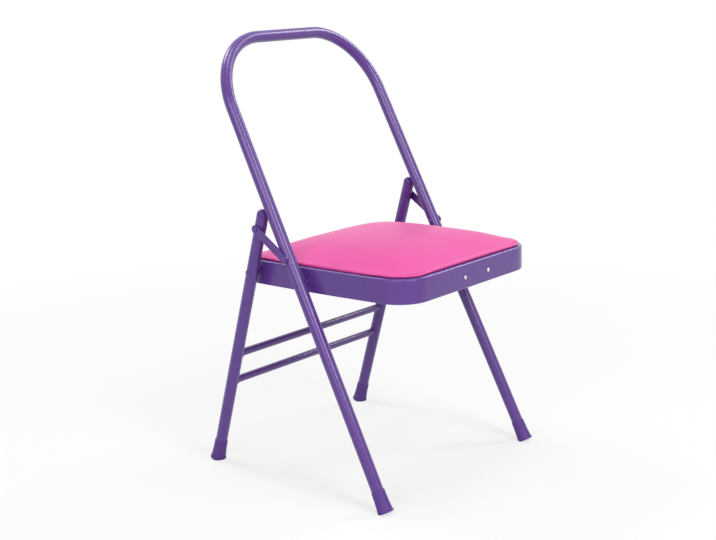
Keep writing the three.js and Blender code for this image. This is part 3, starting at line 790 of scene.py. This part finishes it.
class CHAIR_OT_mould_tips(bpy.types.Operator):
    """Moulds the four foot tips, square to their tubes and cut flat where they stand on the floor"""

    bl_idname = "yoga_chair.mould_tips"
    bl_label = "Mould the foot tips"

    # In mm: how far the radius is drawn in, and the height over the sole, from its edge up over the brim
    brim_rings = ((0.65, 0), (0.32, 0.08), (0.09, 0.30), (0, 0.65), (0, 2.6), (0.08, 2.95), (0.30, 3.2))
    over_brim, brim_fillet, flare_base = 3.4 * mm, 0.16 * mm, 3.8 * mm
    # The share of the flare that is gone, and the height along the tube in mm
    flare_rings = ((0.14, 7), (0.36, 11), (0.56, 16), (0.72, 21), (0.83, 26), (0.92, 33))
    # In mm: how far the radius is drawn in, and the depth below the upper end
    lip_rings = ((0, 0.8), (0.08, 0.35), (0.28, 0.07), (0.6, 0))
    socket_play = 0.15 * mm

    def execute(self, context):
        lay = Layout(context.scene)
        pattern = self.tip(lay, lay.tubes)
        feet = (("front", lay.front, front_foot_x, lay.tubes.hoop_splay, "front_frame"),
                ("rear", lay.rear, lay.leg_x, 0, "rear_frame"))
        for end, frame_of_end, x, splay, body in feet:
            for side, word in sides:
                tip = twin(pattern, f"{end}_tip_{word}")
                place(tip, frame_of_end @ at((side * x, 0, 0), -side * splay, "Y"))
                self.cut_sole(tip)
                hand_over(tip, body, "plastic", f"{end}_foot_tip_{word}", smooth=32)
        discard(pattern)
        return {"FINISHED"}

    def tip(self, lay, tubes):
        """A cup of rings about Z: a rounded brim at the sole, a flare above it and a thin upper lip."""
        brim, foot, top = tubes.tip_brim_radius, tubes.tip_foot_radius, tubes.tip_top_radius
        sole, height = tubes.tip_sole_rise, tubes.tip_height
        return turned("tip_pattern", [
            *((brim - draw * mm, sole + rise * mm) for draw, rise in self.brim_rings),
            (foot + self.brim_fillet, sole + self.over_brim), (foot, sole + self.flare_base),
            *((foot - share * (foot - top), along * mm) for share, along in self.flare_rings),
            *((top - draw * mm, height - drop * mm) for draw, drop in self.lip_rings),
            (lay.tube + self.socket_play, height),
        ], round_steps)

    def cut_sole(self, tip):
        """Cuts away what would reach below the floor."""
        edit(tip)
        take_all()
        bpy.ops.mesh.bisect(plane_co=(0, 0, 0), plane_no=(0, 0, 1), use_fill=True, clear_inner=True)
        close_up()


class CHAIR_OT_press_links(bpy.types.Operator):
    """Presses the two strap links"""

    bl_idname = "yoga_chair.press_links"
    bl_label = "Press the links"

    waist_fillet = 24 * mm
    columns, rows = 96, 10
    thinnest, too_close, edge = 0.02 * mm, 0.05 * mm, 0.95 * mm

    def execute(self, context):
        lay = Layout(context.scene)
        pattern = self.strap(lay.link_length, lay.links)
        for side, word in sides:
            outward, along = Vector((side, 0, 0)), Vector((0, 1, 0))
            basis = Matrix((along, outward.cross(along), outward)).transposed().to_4x4()
            stand = lay.link @ at((side * lay.link_inner, 0, 0)) @ basis
            set_down(twin(pattern, f"strap_link_{word}"), stand, f"{word}_link", "coat",
                     f"link_{word}", smooth=60)
        discard(pattern)
        return {"FINISHED"}

    def half_width(self, x, length, links):
        """Half the strap's width at a distance from its hoop pivot."""
        fillet = self.waist_fillet
        waist = min(links.link_hoop_end, links.link_leg_end) - links.link_waist_draw
        radius = links.link_hoop_end
        if x > length / 2:
            x, radius = length - x, links.link_leg_end
        rise = waist + fillet
        run = math.sqrt((radius + fillet) ** 2 - rise ** 2)
        if x <= run * radius / (radius + fillet):
            return math.sqrt(max(radius ** 2 - x ** 2, 0))
        if x < run:
            return rise - math.sqrt(fillet ** 2 - (x - run) ** 2)
        return waist

    def strap(self, length, links):
        """A strap along X from its hoop pivot, its columns closer together towards its round ends."""
        columns = self.columns
        piece = begin("strap_pattern", bpy.ops.mesh.primitive_grid_add, x_subdivisions=columns,
                      y_subdivisions=self.rows, size=1)
        near, far = -links.link_hoop_end, length + links.link_leg_end
        # A shaped column waits aside, where the next choice doesn't find it
        aside = 10
        for step in range(columns + 1):
            old = -0.5 + step / columns
            x = near + (far - near) * (1 - math.cos(math.pi * step / columns)) / 2
            choose(piece, "VERT", lambda middle, vert: same(middle.x, old))
            resize((1, 2 * max(self.half_width(x, length, links), self.thinnest), 1), (old, 0, 0))
            bpy.ops.transform.translate(value=(x - old + aside, 0, 0))
        take_all("VERT")
        bpy.ops.transform.translate(value=(-aside, 0, 0))
        close_up(self.too_close)
        faces_up = piece.data.polygons[0].normal.z > 0
        modifier(piece, "SOLIDIFY", thickness=links.link_thickness, offset=1 if faces_up else -1)
        rounded(piece, self.edge, segments=5, angle=50)
        return piece


class CHAIR_OT_set_rivets(bpy.types.Operator):
    """Sets the rivets, pins and spacers of the eight hinges"""

    bl_idname = "yoga_chair.set_rivets"
    bl_label = "Set the rivets"

    shank = 3 * mm
    spacer_radius, spacer_edge = 7 * mm, 0.5 * mm
    head_rim, head_rim_rise, stub_draw = 0.2 * mm, 0.18 * mm, 0.1 * mm
    edge_share, most_edge = 0.25, 0.4 * mm

    def execute(self, context):
        lay = Layout(context.scene)
        tail = rivet_ends["tail"][0]
        hoop_x, seat_x = lay.hoop_x(lay.link_on_hoop), lay.hoop_x(lay.seat_on_hoop)
        hinges = (("front", seat_front_reach, rim_above_front_pivot, seat_x, "front_frame"),
                  ("rear", lay.rear_pivot, rim_above_rear_pivot, lay.leg_x, "rear_frame"))
        for side, word in sides:
            self.rivet(f"hoop_rivet_{word}", side, lay.front, (0, lay.link_on_hoop), lay.link_outer,
                       hoop_x - lay.tube, "hoop_link", "tail", "front_frame", f"link_hoop_rivet_{word}")
            self.rivet(f"leg_rivet_{word}", side, lay.link, (lay.link_length, 0), lay.link_outer,
                       lay.link_inner + 2 * fit_gap, "leg_link", "stub",
                       f"{word}_link", f"link_leg_rivet_{word}")
            self.rivet(f"leg_pin_{word}", side, lay.rear, (0, lay.link_on_leg), lay.leg_x + lay.tube,
                       lay.leg_x - lay.tube, "stub", "tail", "rear_frame", f"link_leg_pin_{word}")
            for end, y, drop, tube_x, body in hinges:
                inner = min(lay.rim_x(y - tail), lay.rim_x(y + tail)) - lay.seat_sizes.rim_wall
                self.rivet(f"{end}_hinge_rivet_{word}", side, lay.seat, (y, -drop), tube_x + lay.tube,
                           inner, "seat", "tail", body, f"seat_{end}_rivet_{word}")
                self.spacer(lay, f"{end}_hinge_spacer_{word}", side, y, drop, tube_x,
                            f"seat_{end}_spacer_{word}")
        return {"FINISHED"}

    def end_profile(self, kind, base, way):
        """A rivet's round end: a short upright edge and then a dome, or the flat end of a stub."""
        radius, height = rivet_ends[kind]
        if kind == "stub":
            return [(radius, base), (radius - self.stub_draw, base + way * height)]
        edge = min(self.edge_share * height, self.most_edge)
        return [(radius - self.head_rim, base), (radius, base + way * self.head_rim_rise),
                *dome(radius, height - edge, base + way * edge, way, steps=9)]

    def rivet(self, name, side, local, spot, outer, inner, head, tail, body, node):
        """A rivet across the chair at a spot of a leaning frame, with its grip between two faces."""
        grip = outer - inner + 2 * fit_gap
        over = [ring for ring in reversed(self.end_profile(head, 0, -1)) if ring[0] > 0]
        piece = turned(name, [*over, (self.shank, 0), (self.shank, grip),
                              *self.end_profile(tail, grip, 1)])
        stand = local @ at((side * (outer + fit_gap), *spot), -side * math.pi / 2, "Y")
        set_down(piece, stand, body, "coat", node, smooth=38)

    def spacer(self, lay, name, side, y, drop, tube_x, node):
        """A sleeve from the tube in to the rim, with rounded edges and its bore round the rivet."""
        radius = self.spacer_radius
        outer = tube_x - lay.tube - fit_gap - radius * math.tan(lay.tubes.hoop_splay)
        inner = max(lay.rim_x(y - radius), lay.rim_x(y + radius)) + fit_gap
        piece = begin(name, bpy.ops.mesh.primitive_cylinder_add, vertices=round_steps, radius=radius,
                      depth=outer - inner, end_fill_type="NGON")
        choose(piece, "FACE", lambda middle, face: abs(face.normal.z) > facing)
        bpy.ops.mesh.inset(thickness=radius - self.shank - fit_gap, depth=0)
        bpy.ops.mesh.bridge_edge_loops()
        deselect()
        rounded(piece, self.spacer_edge, segments=4)
        stand = lay.seat @ at((side * (outer + inner) / 2, y, -drop), math.pi / 2, "Y")
        set_down(piece, stand, "seat", "coat", node, smooth=38)


# Seat pieces

def outline_plate(name, lay, inset, height):
    """A flat plate with the rim's outline, drawn in by an inset, in the seat's frame."""
    half_x, half_y = lay.half_width - inset, lay.half_depth - inset
    plate = begin(name, bpy.ops.mesh.primitive_plane_add, scale=(half_x, half_y, 1), size=2,
                  location=(0, lay.half_depth, height))
    for corner, way in ((lay.seat_sizes.front_corner, -1), (lay.rear_corner, 1)):
        near = lay.half_depth + way * half_y
        choose(plate, "VERT", lambda middle, vert: same(middle.y, near))
        bevel(max(corner - inset, least_corner), corner_steps, "VERTICES")
    take_all("FACE")
    bpy.ops.mesh.delete(type="ONLY_FACE")
    choose(plate, "EDGE", lambda middle, edge: edge.calc_length() > long_side)
    bpy.ops.mesh.subdivide(number_cuts=side_cuts)
    # Each row across the plate is drawn to the rim's bowed width
    for row in sorted({round(vert.co.y, 6) for vert in bmesh.from_edit_mesh(plate.data).verts}):
        choose(plate, "VERT", lambda middle, vert: abs(middle.y - row) < 2e-6)
        share = (lay.rim_x(min(max(row, 0), lay.depth)) - inset) / half_x
        resize((share, 1, 1), (0, row, 0))
    take_all()
    bpy.ops.mesh.edge_face_add()
    return plate


def raise_plate(plate, rise):
    """Extrudes the plate upwards into a closed block."""
    take_all("FACE")
    extrude((0, 0, rise))
    close_up()


class CHAIR_OT_press_rim(bpy.types.Operator):
    """Presses the seat rim, with its flange and lip"""

    bl_idname = "yoga_chair.press_rim"
    bl_label = "Press the rim"

    lip_edge, sheet_edge = 2.2 * mm, 0.35 * mm

    def execute(self, context):
        lay = Layout(context.scene)
        seat = lay.seat_sizes
        rim = outline_plate("pressed_rim", lay, 0, -seat.rim_height)
        raise_plate(rim, seat.rim_height)
        edit(rim)
        for way, width in ((1, seat.flange_width), (-1, seat.lip_width)):
            choose(rim, "FACE", lambda middle, face: face.normal.z * way > facing)
            bpy.ops.mesh.inset(thickness=width, depth=0, use_even_offset=True)
            bpy.ops.mesh.delete(type="FACE")
        self.round_edge(rim, 0, seat.rim_edge, segments=8)
        self.round_edge(rim, -seat.rim_height, self.lip_edge, segments=6)
        deselect()
        modifier(rim, "SOLIDIFY", thickness=seat.rim_wall, offset=-1, use_even_offset=True)
        rounded(rim, self.sheet_edge)
        set_down(rim, lay.seat, "seat", "coat", "seat_rim", smooth=45)
        return {"FINISHED"}

    def round_edge(self, rim, height, radius, segments):
        """Rounds the outer edge that runs round the rim at a height."""
        def outer_edge(middle, edge):
            level = all(same(vert.co.z, height) for vert in edge.verts)
            return level and any(abs(face.normal.z) < 0.5 for face in edge.link_faces)

        choose(rim, "EDGE", outer_edge)
        bevel(radius, segments)


class CHAIR_OT_cut_board(bpy.types.Operator):
    """Cuts the plywood board and drives its four screws"""

    bl_idname = "yoga_chair.cut_board"
    bl_label = "Cut the board"

    cover_under_board, board_edge = 1.2 * mm, 0.6 * mm
    screw_short_of_top, screw_from_flange_edge = 0.8 * mm, 8 * mm
    head_radius, head_height, head_side, head_edge = 4 * mm, 2.4 * mm, 0.7 * mm, 0.15 * mm
    core, crest, pitch = 1.65 * mm, 2 * mm, 1.3 * mm
    thread_start, thread_end, point_length = 0.6 * mm, 1.5 * mm, 1.2 * mm
    thread_end_radius, tip_radius = 1.5 * mm, 0.3 * mm
    # Shares of the pitch where the thread's crest and the next root stand
    crest_at, root_at = 0.45, 0.9
    slot_size, slot_taper = (4.2 * mm, 0.9 * mm, 3.0 * mm), (0.45, 0.6, 1)
    # Each row's share of the seat's depth, and the turn of its slots, so that no two point the same way
    rows = (("front", 0.2, 0.51), ("rear", 0.8, 0.99))

    def execute(self, context):
        lay = Layout(context.scene)
        seat = lay.seat_sizes
        bottom = fit_gap + self.cover_under_board + fit_gap
        board = outline_plate("seat_ply", lay, seat.board_inset, bottom)
        raise_plate(board, seat.board_thickness)
        rounded(board, self.board_edge)
        set_down(board, lay.seat, "seat", "ply", "seat_board")
        pattern = self.screw(-seat.rim_wall - fit_gap,
                             bottom + seat.board_thickness - self.screw_short_of_top)
        inset = seat.flange_width - self.screw_from_flange_edge
        for end, share, turn in self.rows:
            y = share * lay.depth
            for side, word in sides:
                stand = lay.seat @ at((side * (lay.rim_x(y) - inset), y, 0), turn + side)
                set_down(twin(pattern, f"board_screw_{end}_{word}_head"), stand, "seat", "zinc",
                         f"board_screw_{end}_{word}", smooth=35)
        discard(pattern)
        return {"FINISHED"}

    def screw(self, base, reach):
        """A pan-head screw from below, with a cross recess in its head and a thread on its shank."""
        radius, height, core = self.head_radius, self.head_height, self.core
        head = dome(radius, height - self.head_side, base - self.head_side, way=-1, steps=8)
        thread, z = [], base + self.thread_start
        while z + self.pitch < reach - self.thread_end:
            thread += [(core, z), (self.crest, z + self.crest_at * self.pitch),
                       (core, z + self.root_at * self.pitch)]
            z += self.pitch
        screw = turned("screw_pattern", [
            *reversed(head[:-1]), (radius, base - self.head_edge), (radius - self.head_edge, base),
            (core, base), *thread, (self.thread_end_radius, reach - self.point_length),
            (self.tip_radius, reach), (0, reach)])
        for turn in (0, math.pi / 2):
            slot = begin("slot_cutter", bpy.ops.mesh.primitive_cube_add, scale=self.slot_size, size=1,
                         location=(0, 0, base - height), rotation=(0, 0, turn))
            choose(slot, "FACE", lambda middle, face: face.normal.z > facing)
            resize(self.slot_taper, (0, 0, base - height))
            deselect()
            modifier(screw, "BOOLEAN", operation="DIFFERENCE", object=slot, solver="EXACT")
            discard(slot)
        return screw


class CHAIR_OT_fold_bracket(bpy.types.Operator):
    """Folds the front bracket and sets its two blind rivets"""

    bl_idname = "yoga_chair.fold_bracket"
    bl_label = "Fold the bracket"

    thick, middle_x, rivet_x = 2 * mm, 8 * mm, 36 * mm
    over_lip, fold, corner, edge = 5.5 * mm, 3 * mm, 4.5 * mm, 0.3 * mm
    rivet_shank, head_edge, head_draw = 2 * mm, 0.18 * mm, 0.12 * mm

    def execute(self, context):
        lay = Layout(context.scene)
        seat, height = lay.seat_sizes, lay.links.bracket_height
        drop = seat.rim_height - seat.rim_wall - self.over_lip - height / 2
        bracket = self.angle(lay.links, seat.rim_wall + fit_gap, -drop)
        set_down(bracket, lay.seat, "seat", "coat", "front_bracket")
        pattern = self.blind_rivet(seat.rim_wall + self.thick + 3 * fit_gap)
        for side, word in sides:
            spot = (self.middle_x + side * self.rivet_x, -fit_gap, -drop)
            set_down(twin(pattern, f"blind_rivet_{word}"), lay.seat @ at(spot, -math.pi / 2, "X"),
                     "seat", "zinc", f"bracket_rivet_{word}")
        discard(pattern)
        return {"FINISHED"}

    def angle(self, links, face, middle_z):
        """An angle whose upright leg stands against the rim and whose foot runs to the rear."""
        length, height = links.bracket_length, links.bracket_height
        low = middle_z - height / 2
        bracket = begin("folded_bracket", bpy.ops.mesh.primitive_plane_add,
                        scale=(length, height, 1), size=1, location=(self.middle_x, face, middle_z),
                        rotation=(math.pi / 2, 0, 0))

        def in_fold(middle):
            return same(middle.z, low) and same(middle.y, face)

        choose(bracket, "EDGE", lambda middle, edge: same(middle.z, low))
        extrude((0, links.bracket_depth, 0))
        choose(bracket, "VERT", lambda middle, vert: not in_fold(middle))
        bevel(self.corner, segments=8, affect="VERTICES")
        choose(bracket, "EDGE", lambda middle, edge: in_fold(middle) and edge.calc_length() > length / 2)
        bevel(self.fold, segments=7)
        close_up()
        faces_front = sum(poly.normal.y * poly.area for poly in bracket.data.polygons) < 0
        modifier(bracket, "SOLIDIFY", thickness=self.thick, offset=-1 if faces_front else 1,
                 use_even_offset=True)
        rounded(bracket, self.edge)
        return bracket

    def blind_rivet(self, grip):
        """A blind rivet along Z: a domed head with its broken stem in a small well, and a bulbed tail."""
        radius, height = rivet_ends["bracket"]
        bulb, bulb_height = rivet_ends["bracket_tail"]
        # In mm: the radius and the depth below the head's top, from the broken stem out over the dome
        head = ((0.55, 0.35), (0.75, 0.35), (0.95, 0.02), (1.25, 0), (2.0, 0.13), (2.7, 0.42), (3.15, 0.80))
        # In mm: how far the bulb's radius is drawn in, and the height over the grip
        tail = ((0.4, 0.2), (0, 0.8), (0.3, 1.6), (1.2, 2.1), (1.9, 2.4))
        return turned("blind_rivet_pattern", [
            *((ring * mm, -height + depth * mm) for ring, depth in head),
            (radius, -self.head_edge), (radius - self.head_draw, 0),
            (self.rivet_shank, 0), (self.rivet_shank, grip),
            *((bulb - draw * mm, grip + rise * mm) for draw, rise in tail),
            (0, grip + bulb_height)])


class CHAIR_OT_upholster(bpy.types.Operator):
    """Stuffs the seat pad and pulls its vinyl cover tight"""

    bl_idname = "yoga_chair.upholster"
    bl_label = "Upholster the seat"

    voxel, side_draw = 4 * mm, 0.3 * mm
    flat_below, crown_before_swell = 0.8 * mm, 0.92
    # The swell: what is held, how hard and how long it is blown up, and how the move is capped and evened
    held_below, pressure, frames, steps_per_frame = 2.5 * mm, 4, 20, 5
    most_swell, evening_rounds = 3.5 * mm, 60
    # The settling: where the crown takes its height, the foot's draw down and in, and the corners' drop
    crown_from, foot_drop, foot_height = 12 * mm, 1.6 * mm, 7 * mm
    tuck, tuck_height = 0.5 * mm, 1.5 * mm
    corner_from, corner_run, corner_drop = 0.40, 0.44, 0.22
    # The pocket: how far it reaches round and over the board, and what counts as underside
    pocket_round, pocket_over, underside = 2.5 * mm, 2.2 * mm, 0.6 * mm

    def execute(self, context):
        lay = Layout(context.scene)
        seat = lay.seat_sizes
        bottom = fit_gap
        pad = outline_plate("vinyl_pad", lay, seat.pad_inset + self.side_draw, bottom)
        raise_plate(pad, seat.pad_edge)
        modifier(pad, "REMESH", mode="VOXEL", voxel_size=self.voxel, use_smooth_shade=True)
        points = self.crowned(self.points(pad), lay, seat, bottom)
        self.write(pad, points)
        self.write(pad, self.pressed(pad, points, bottom))
        modifier(pad, "SUBSURF", levels=1, render_levels=1)
        self.write(pad, self.settled(self.points(pad), lay, seat, bottom))
        self.pocket(pad, lay, seat, bottom)
        set_down(pad, lay.seat, "seat", "vinyl", "seat_cover", "seat_foam", smooth=60)
        return {"FINISHED"}

    def points(self, piece):
        found = np.empty(len(piece.data.vertices) * 3)
        piece.data.vertices.foreach_get("co", found)
        return found.reshape(-1, 3)

    def write(self, piece, points):
        piece.data.vertices.foreach_set("co", points.ravel())
        piece.data.update()

    def away(self, points, lay, seat):
        """How far out each point lies, across and along the seat: 0 in the middle and 1 at the edge."""
        half_x, half_y = lay.half_width - seat.pad_inset, lay.half_depth - seat.pad_inset
        return points[:, 0] / half_x, (points[:, 1] - lay.half_depth) / half_y

    def crowned(self, points, lay, seat, bottom):
        """Lifts the pad's top into its crown and lays its underside flat."""
        x, y = (np.clip(np.abs(part), 0, 1) for part in self.away(points, lay, seat))
        fall = (1 - x ** seat.pad_fullness) * (1 - y ** seat.pad_fullness)
        over = np.maximum(points[:, 2] - bottom - self.flat_below, 0)
        up = np.clip(over / (seat.pad_edge - self.flat_below), 0, 1)
        points[:, 2] = np.where(over > 0, points[:, 2], bottom)
        points[:, 2] += self.crown_before_swell * seat.pad_crown * fall * up
        return points

    def pressed(self, pad, rest, bottom):
        """Blows the skin up from inside for some frames, and keeps its even swell and no creases."""
        only(pad)
        held = pad.vertex_groups.new(name="held")
        low = np.nonzero(rest[:, 2] < bottom + self.held_below)[0]
        held.add([int(index) for index in low], 1.0, "REPLACE")
        bpy.ops.object.modifier_add(type="CLOTH")
        cloth = pad.modifiers[-1]
        cloth.settings.use_pressure = True
        cloth.settings.uniform_pressure_force = self.pressure
        cloth.settings.effector_weights.gravity = 0
        cloth.settings.vertex_group_mass = "held"
        cloth.settings.quality = self.steps_per_frame
        for step in range(1, self.frames + 1):
            bpy.context.scene.frame_set(step)
        bpy.ops.object.modifier_apply(modifier=cloth.name)
        bpy.context.scene.frame_set(1)
        pad.vertex_groups.clear()
        move = self.points(pad) - rest
        length = np.linalg.norm(move, axis=1, keepdims=True)
        move *= np.minimum(1, self.most_swell / np.maximum(length, 1e-9))
        return rest + self.evened(pad, move)

    def evened(self, pad, values):
        """Evens values out over the skin, each point with its neighbours, for some rounds."""
        ends = np.empty(len(pad.data.edges) * 2, dtype=np.int64)
        pad.data.edges.foreach_get("vertices", ends)
        first, second = ends.reshape(-1, 2).T
        count = np.bincount(ends, minlength=len(values))
        for _ in range(self.evening_rounds):
            near = np.zeros_like(values)
            np.add.at(near, first, values[second])
            np.add.at(near, second, values[first])
            values = 0.5 * values + 0.5 * near / np.maximum(count, 1)[:, None]
        return values

    def settled(self, points, lay, seat, bottom):
        """Brings the crown to its height, lowers the corners and draws the foot down and in."""
        over = points[:, 2] - bottom
        share = (seat.pad_edge + seat.pad_crown) / over.max()
        over = over * (1 + (share - 1) * np.clip(over / self.crown_from, 0, 1))
        over = np.maximum(0, over - self.foot_drop * np.clip(1 - over / self.foot_height, 0, 1))
        x, y = self.away(points, lay, seat)
        corner = np.clip((np.abs(x * y) - self.corner_from) / self.corner_run, 0, 1)
        points[:, 2] = bottom + over * (1 - self.corner_drop * corner * corner * (3 - 2 * corner))
        tuck = self.tuck * np.clip(1 - over / self.tuck_height, 0, 1) ** 2
        for axis, away in ((0, x), (1, y)):
            # Only the outer sixth is drawn in
            points[:, axis] -= np.sign(away) * tuck * np.clip(np.abs(away) * 6 - 5, 0, 1)
        return points

    def pocket(self, pad, lay, seat, bottom):
        """Opens the pocket in the underside that the board sits in."""
        inset = seat.board_inset - self.pocket_round
        corners = ((seat.front_corner - inset, lambda y: y - inset),
                   (lay.rear_corner - inset, lambda y: lay.depth - inset - y))
        edit(pad)

        def under_board(middle, face):
            if middle.z > bottom + self.underside or face.normal.z > -0.7:
                return False
            if not inset < middle.y < lay.depth - inset:
                return False
            half = lay.rim_x(middle.y) - inset
            for radius, from_end in corners:
                away = from_end(middle.y)
                if 0 <= away < radius:
                    half -= radius - math.sqrt(radius ** 2 - (radius - away) ** 2)
            return abs(middle.x) < half

        choose(pad, "FACE", under_board)
        deep = seat.board_thickness + self.pocket_over
        extrude((0, 0, deep))
        resize((1, 1, 0), (0, 0, bottom + deep))
        deselect()


# Studio

# Each lamp's place, the point that it faces, its size and its power in watts
softboxes = {
    "left_softbox": ((-2.9, -0.83, 1.75), (0, 0, 0.6), (2.2, 1.5), 39),
    "front_softbox": ((-0.57, -2.95, 2.5), (0, 0, 0.4), (1.3, 1.4), 54),
    "top_softbox": ((0.0, -0.1, 3.0), (0, 0, 0.4), (0.9, 0.9), 15),
    "rear_softbox": ((-0.2, 1.95, 2.75), (0, 0, 0.4), (0.9, 0.7), 24),
    "right_softbox": ((2.35, -0.75, 2.3), (0, 0, 0.4), (0.7, 0.9), 24),
}

# The photograph's viewpoint: its place, its bearing, downward tilt and roll in degrees, and its focal
# length and width in pixels
camera_spot = (-1894.5 * mm, -1502.24 * mm, 934.4 * mm)
camera_angles = (-50.864, 13.378, -0.541)
focal_pixels, picture_width = 1323.149, 716


class CHAIR_OT_set_stage(bpy.types.Operator):
    """Lays the floor and sets the lights, the white surround and the camera"""

    bl_idname = "yoga_chair.set_stage"
    bl_label = "Set the stage"

    floor_size, floor_below = 60, 0.2 * mm
    floor_colour = (0.84, 0.84, 0.85)
    # The share of white that the picture sees in the floor by the chair, and the reach of its growth
    floor_white, white_reach = 0.66, 2.4
    surround_light = 0.34

    def execute(self, context):
        context.scene.view_settings.view_transform = "Standard"
        self.floor()
        self.surround(context.scene)
        for name, (spot, target, size, power) in softboxes.items():
            self.lamp(name, spot, target, size, power)
        self.camera(context.scene)
        return {"FINISHED"}

    def floor(self):
        """A matt floor that keeps the chair's shadow and fades to white further off."""
        floor = begin("studio_floor", bpy.ops.mesh.primitive_plane_add, size=self.floor_size,
                      location=(0, 0, -self.floor_below))
        deselect()
        finish = Finish("studio_floor", Roughness=0.85, Specular_IOR_Level=0.1)
        finish.feed(finish.shader.inputs["Base Color"], self.floor_colour)
        light = finish.add("ShaderNodeEmission", Color=(1, 1, 1), Strength=1.0)
        away = finish.add("ShaderNodeVectorMath", {"operation": "LENGTH"}, n0=finish.place)
        far = Value(finish, away.outputs["Value"]) / self.white_reach
        share = finish.ramp(far, [(0.28, 0), (0.75, 1)]) * (1 - self.floor_white) + self.floor_white
        mixed = finish.add("ShaderNodeMixShader", Fac=finish.seen() * share,
                           n1=finish.shader.outputs[0], n2=light.outputs[0])
        finish.feed(finish.tree.nodes["Material Output"].inputs["Surface"], mixed.outputs[0])
        floor.data.materials.append(finish.material)

    def surround(self, scene):
        """A plain light on the chair, and white where the picture or a reflection sees it."""
        scene.world = bpy.data.worlds.new("studio_surround")
        scene.world.use_nodes = True
        nodes = Nodes(scene.world.node_tree)
        plain = nodes.tree.nodes["Background"].inputs
        nodes.feed(plain["Color"], (1, 1, 1))
        nodes.feed(plain["Strength"], nodes.seen() * (1 - self.surround_light) + self.surround_light)

    def lamp(self, name, spot, target, size, power):
        deselect()
        bpy.ops.object.light_add(type="AREA", location=spot)
        lamp = bpy.context.object
        lamp.name = lamp.data.name = name
        lamp.rotation_euler = (Vector(target) - Vector(spot)).to_track_quat("-Z", "Y").to_euler()
        lamp.data.shape = "RECTANGLE"
        lamp.data.size, lamp.data.size_y = size
        lamp.data.energy = power

    def camera(self, scene):
        """Stands the camera where the photograph was taken from."""
        deselect()
        bearing, tilt, roll = (math.radians(angle) for angle in camera_angles)
        look = Matrix.Rotation(bearing, 3, "Z") @ Matrix.Rotation(math.pi / 2 - tilt, 3, "X")
        bpy.ops.object.camera_add(location=camera_spot)
        camera = bpy.context.object
        camera.name = camera.data.name = "photo_camera"
        camera.rotation_euler = (look @ Matrix.Rotation(roll, 3, "Z")).to_euler()
        camera.data.lens = focal_pixels / picture_width * camera.data.sensor_width
        camera.data.clip_start, camera.data.clip_end = 0.05, 200
        scene.camera = camera


class CHAIR_PT_sidebar(bpy.types.Panel):
    """Lists the chair's sizes, colours and steps"""

    bl_idname = "CHAIR_PT_sidebar"
    bl_label = "Yoga Chair"
    bl_space_type = "VIEW_3D"
    bl_region_type = "UI"
    bl_category = "Yoga Chair"

    def draw(self, context):
        for step in steps:
            self.layout.operator(step.bl_idname)
        for name, group in groups.items():
            box = self.layout.box()
            box.label(text=group.__doc__)
            for size in group.__annotations__:
                box.prop(getattr(context.scene, name), size)


groups = {
    "chair_tubes": ChairTubes,
    "chair_seat": ChairSeat,
    "chair_links": ChairLinks,
    "chair_colours": ChairColours,
}
steps = (
    CHAIR_OT_bend_hoop,
    CHAIR_OT_cut_rear_legs,
    CHAIR_OT_weld_braces,
    CHAIR_OT_mould_tips,
    CHAIR_OT_press_links,
    CHAIR_OT_set_rivets,
    CHAIR_OT_press_rim,
    CHAIR_OT_cut_board,
    CHAIR_OT_fold_bracket,
    CHAIR_OT_upholster,
    CHAIR_OT_set_stage,
)


def register():
    for name, group in groups.items():
        bpy.utils.register_class(group)
        setattr(bpy.types.Scene, name, bpy.props.PointerProperty(type=group))
    for step in (*steps, CHAIR_PT_sidebar):
        bpy.utils.register_class(step)


def unregister():
    for step in reversed((*steps, CHAIR_PT_sidebar)):
        bpy.utils.unregister_class(step)
    for name, group in groups.items():
        delattr(bpy.types.Scene, name)
        bpy.utils.unregister_class(group)


def main():
    register()
    bpy.ops.yoga_chair.bend_hoop()
    bpy.ops.yoga_chair.cut_rear_legs()
    bpy.ops.yoga_chair.weld_braces()
    bpy.ops.yoga_chair.mould_tips()
    bpy.ops.yoga_chair.press_links()
    bpy.ops.yoga_chair.set_rivets()
    bpy.ops.yoga_chair.press_rim()
    bpy.ops.yoga_chair.cut_board()
    bpy.ops.yoga_chair.fold_bracket()
    bpy.ops.yoga_chair.upholster()
    bpy.ops.yoga_chair.set_stage()


if __name__ == "__main__":
    main()
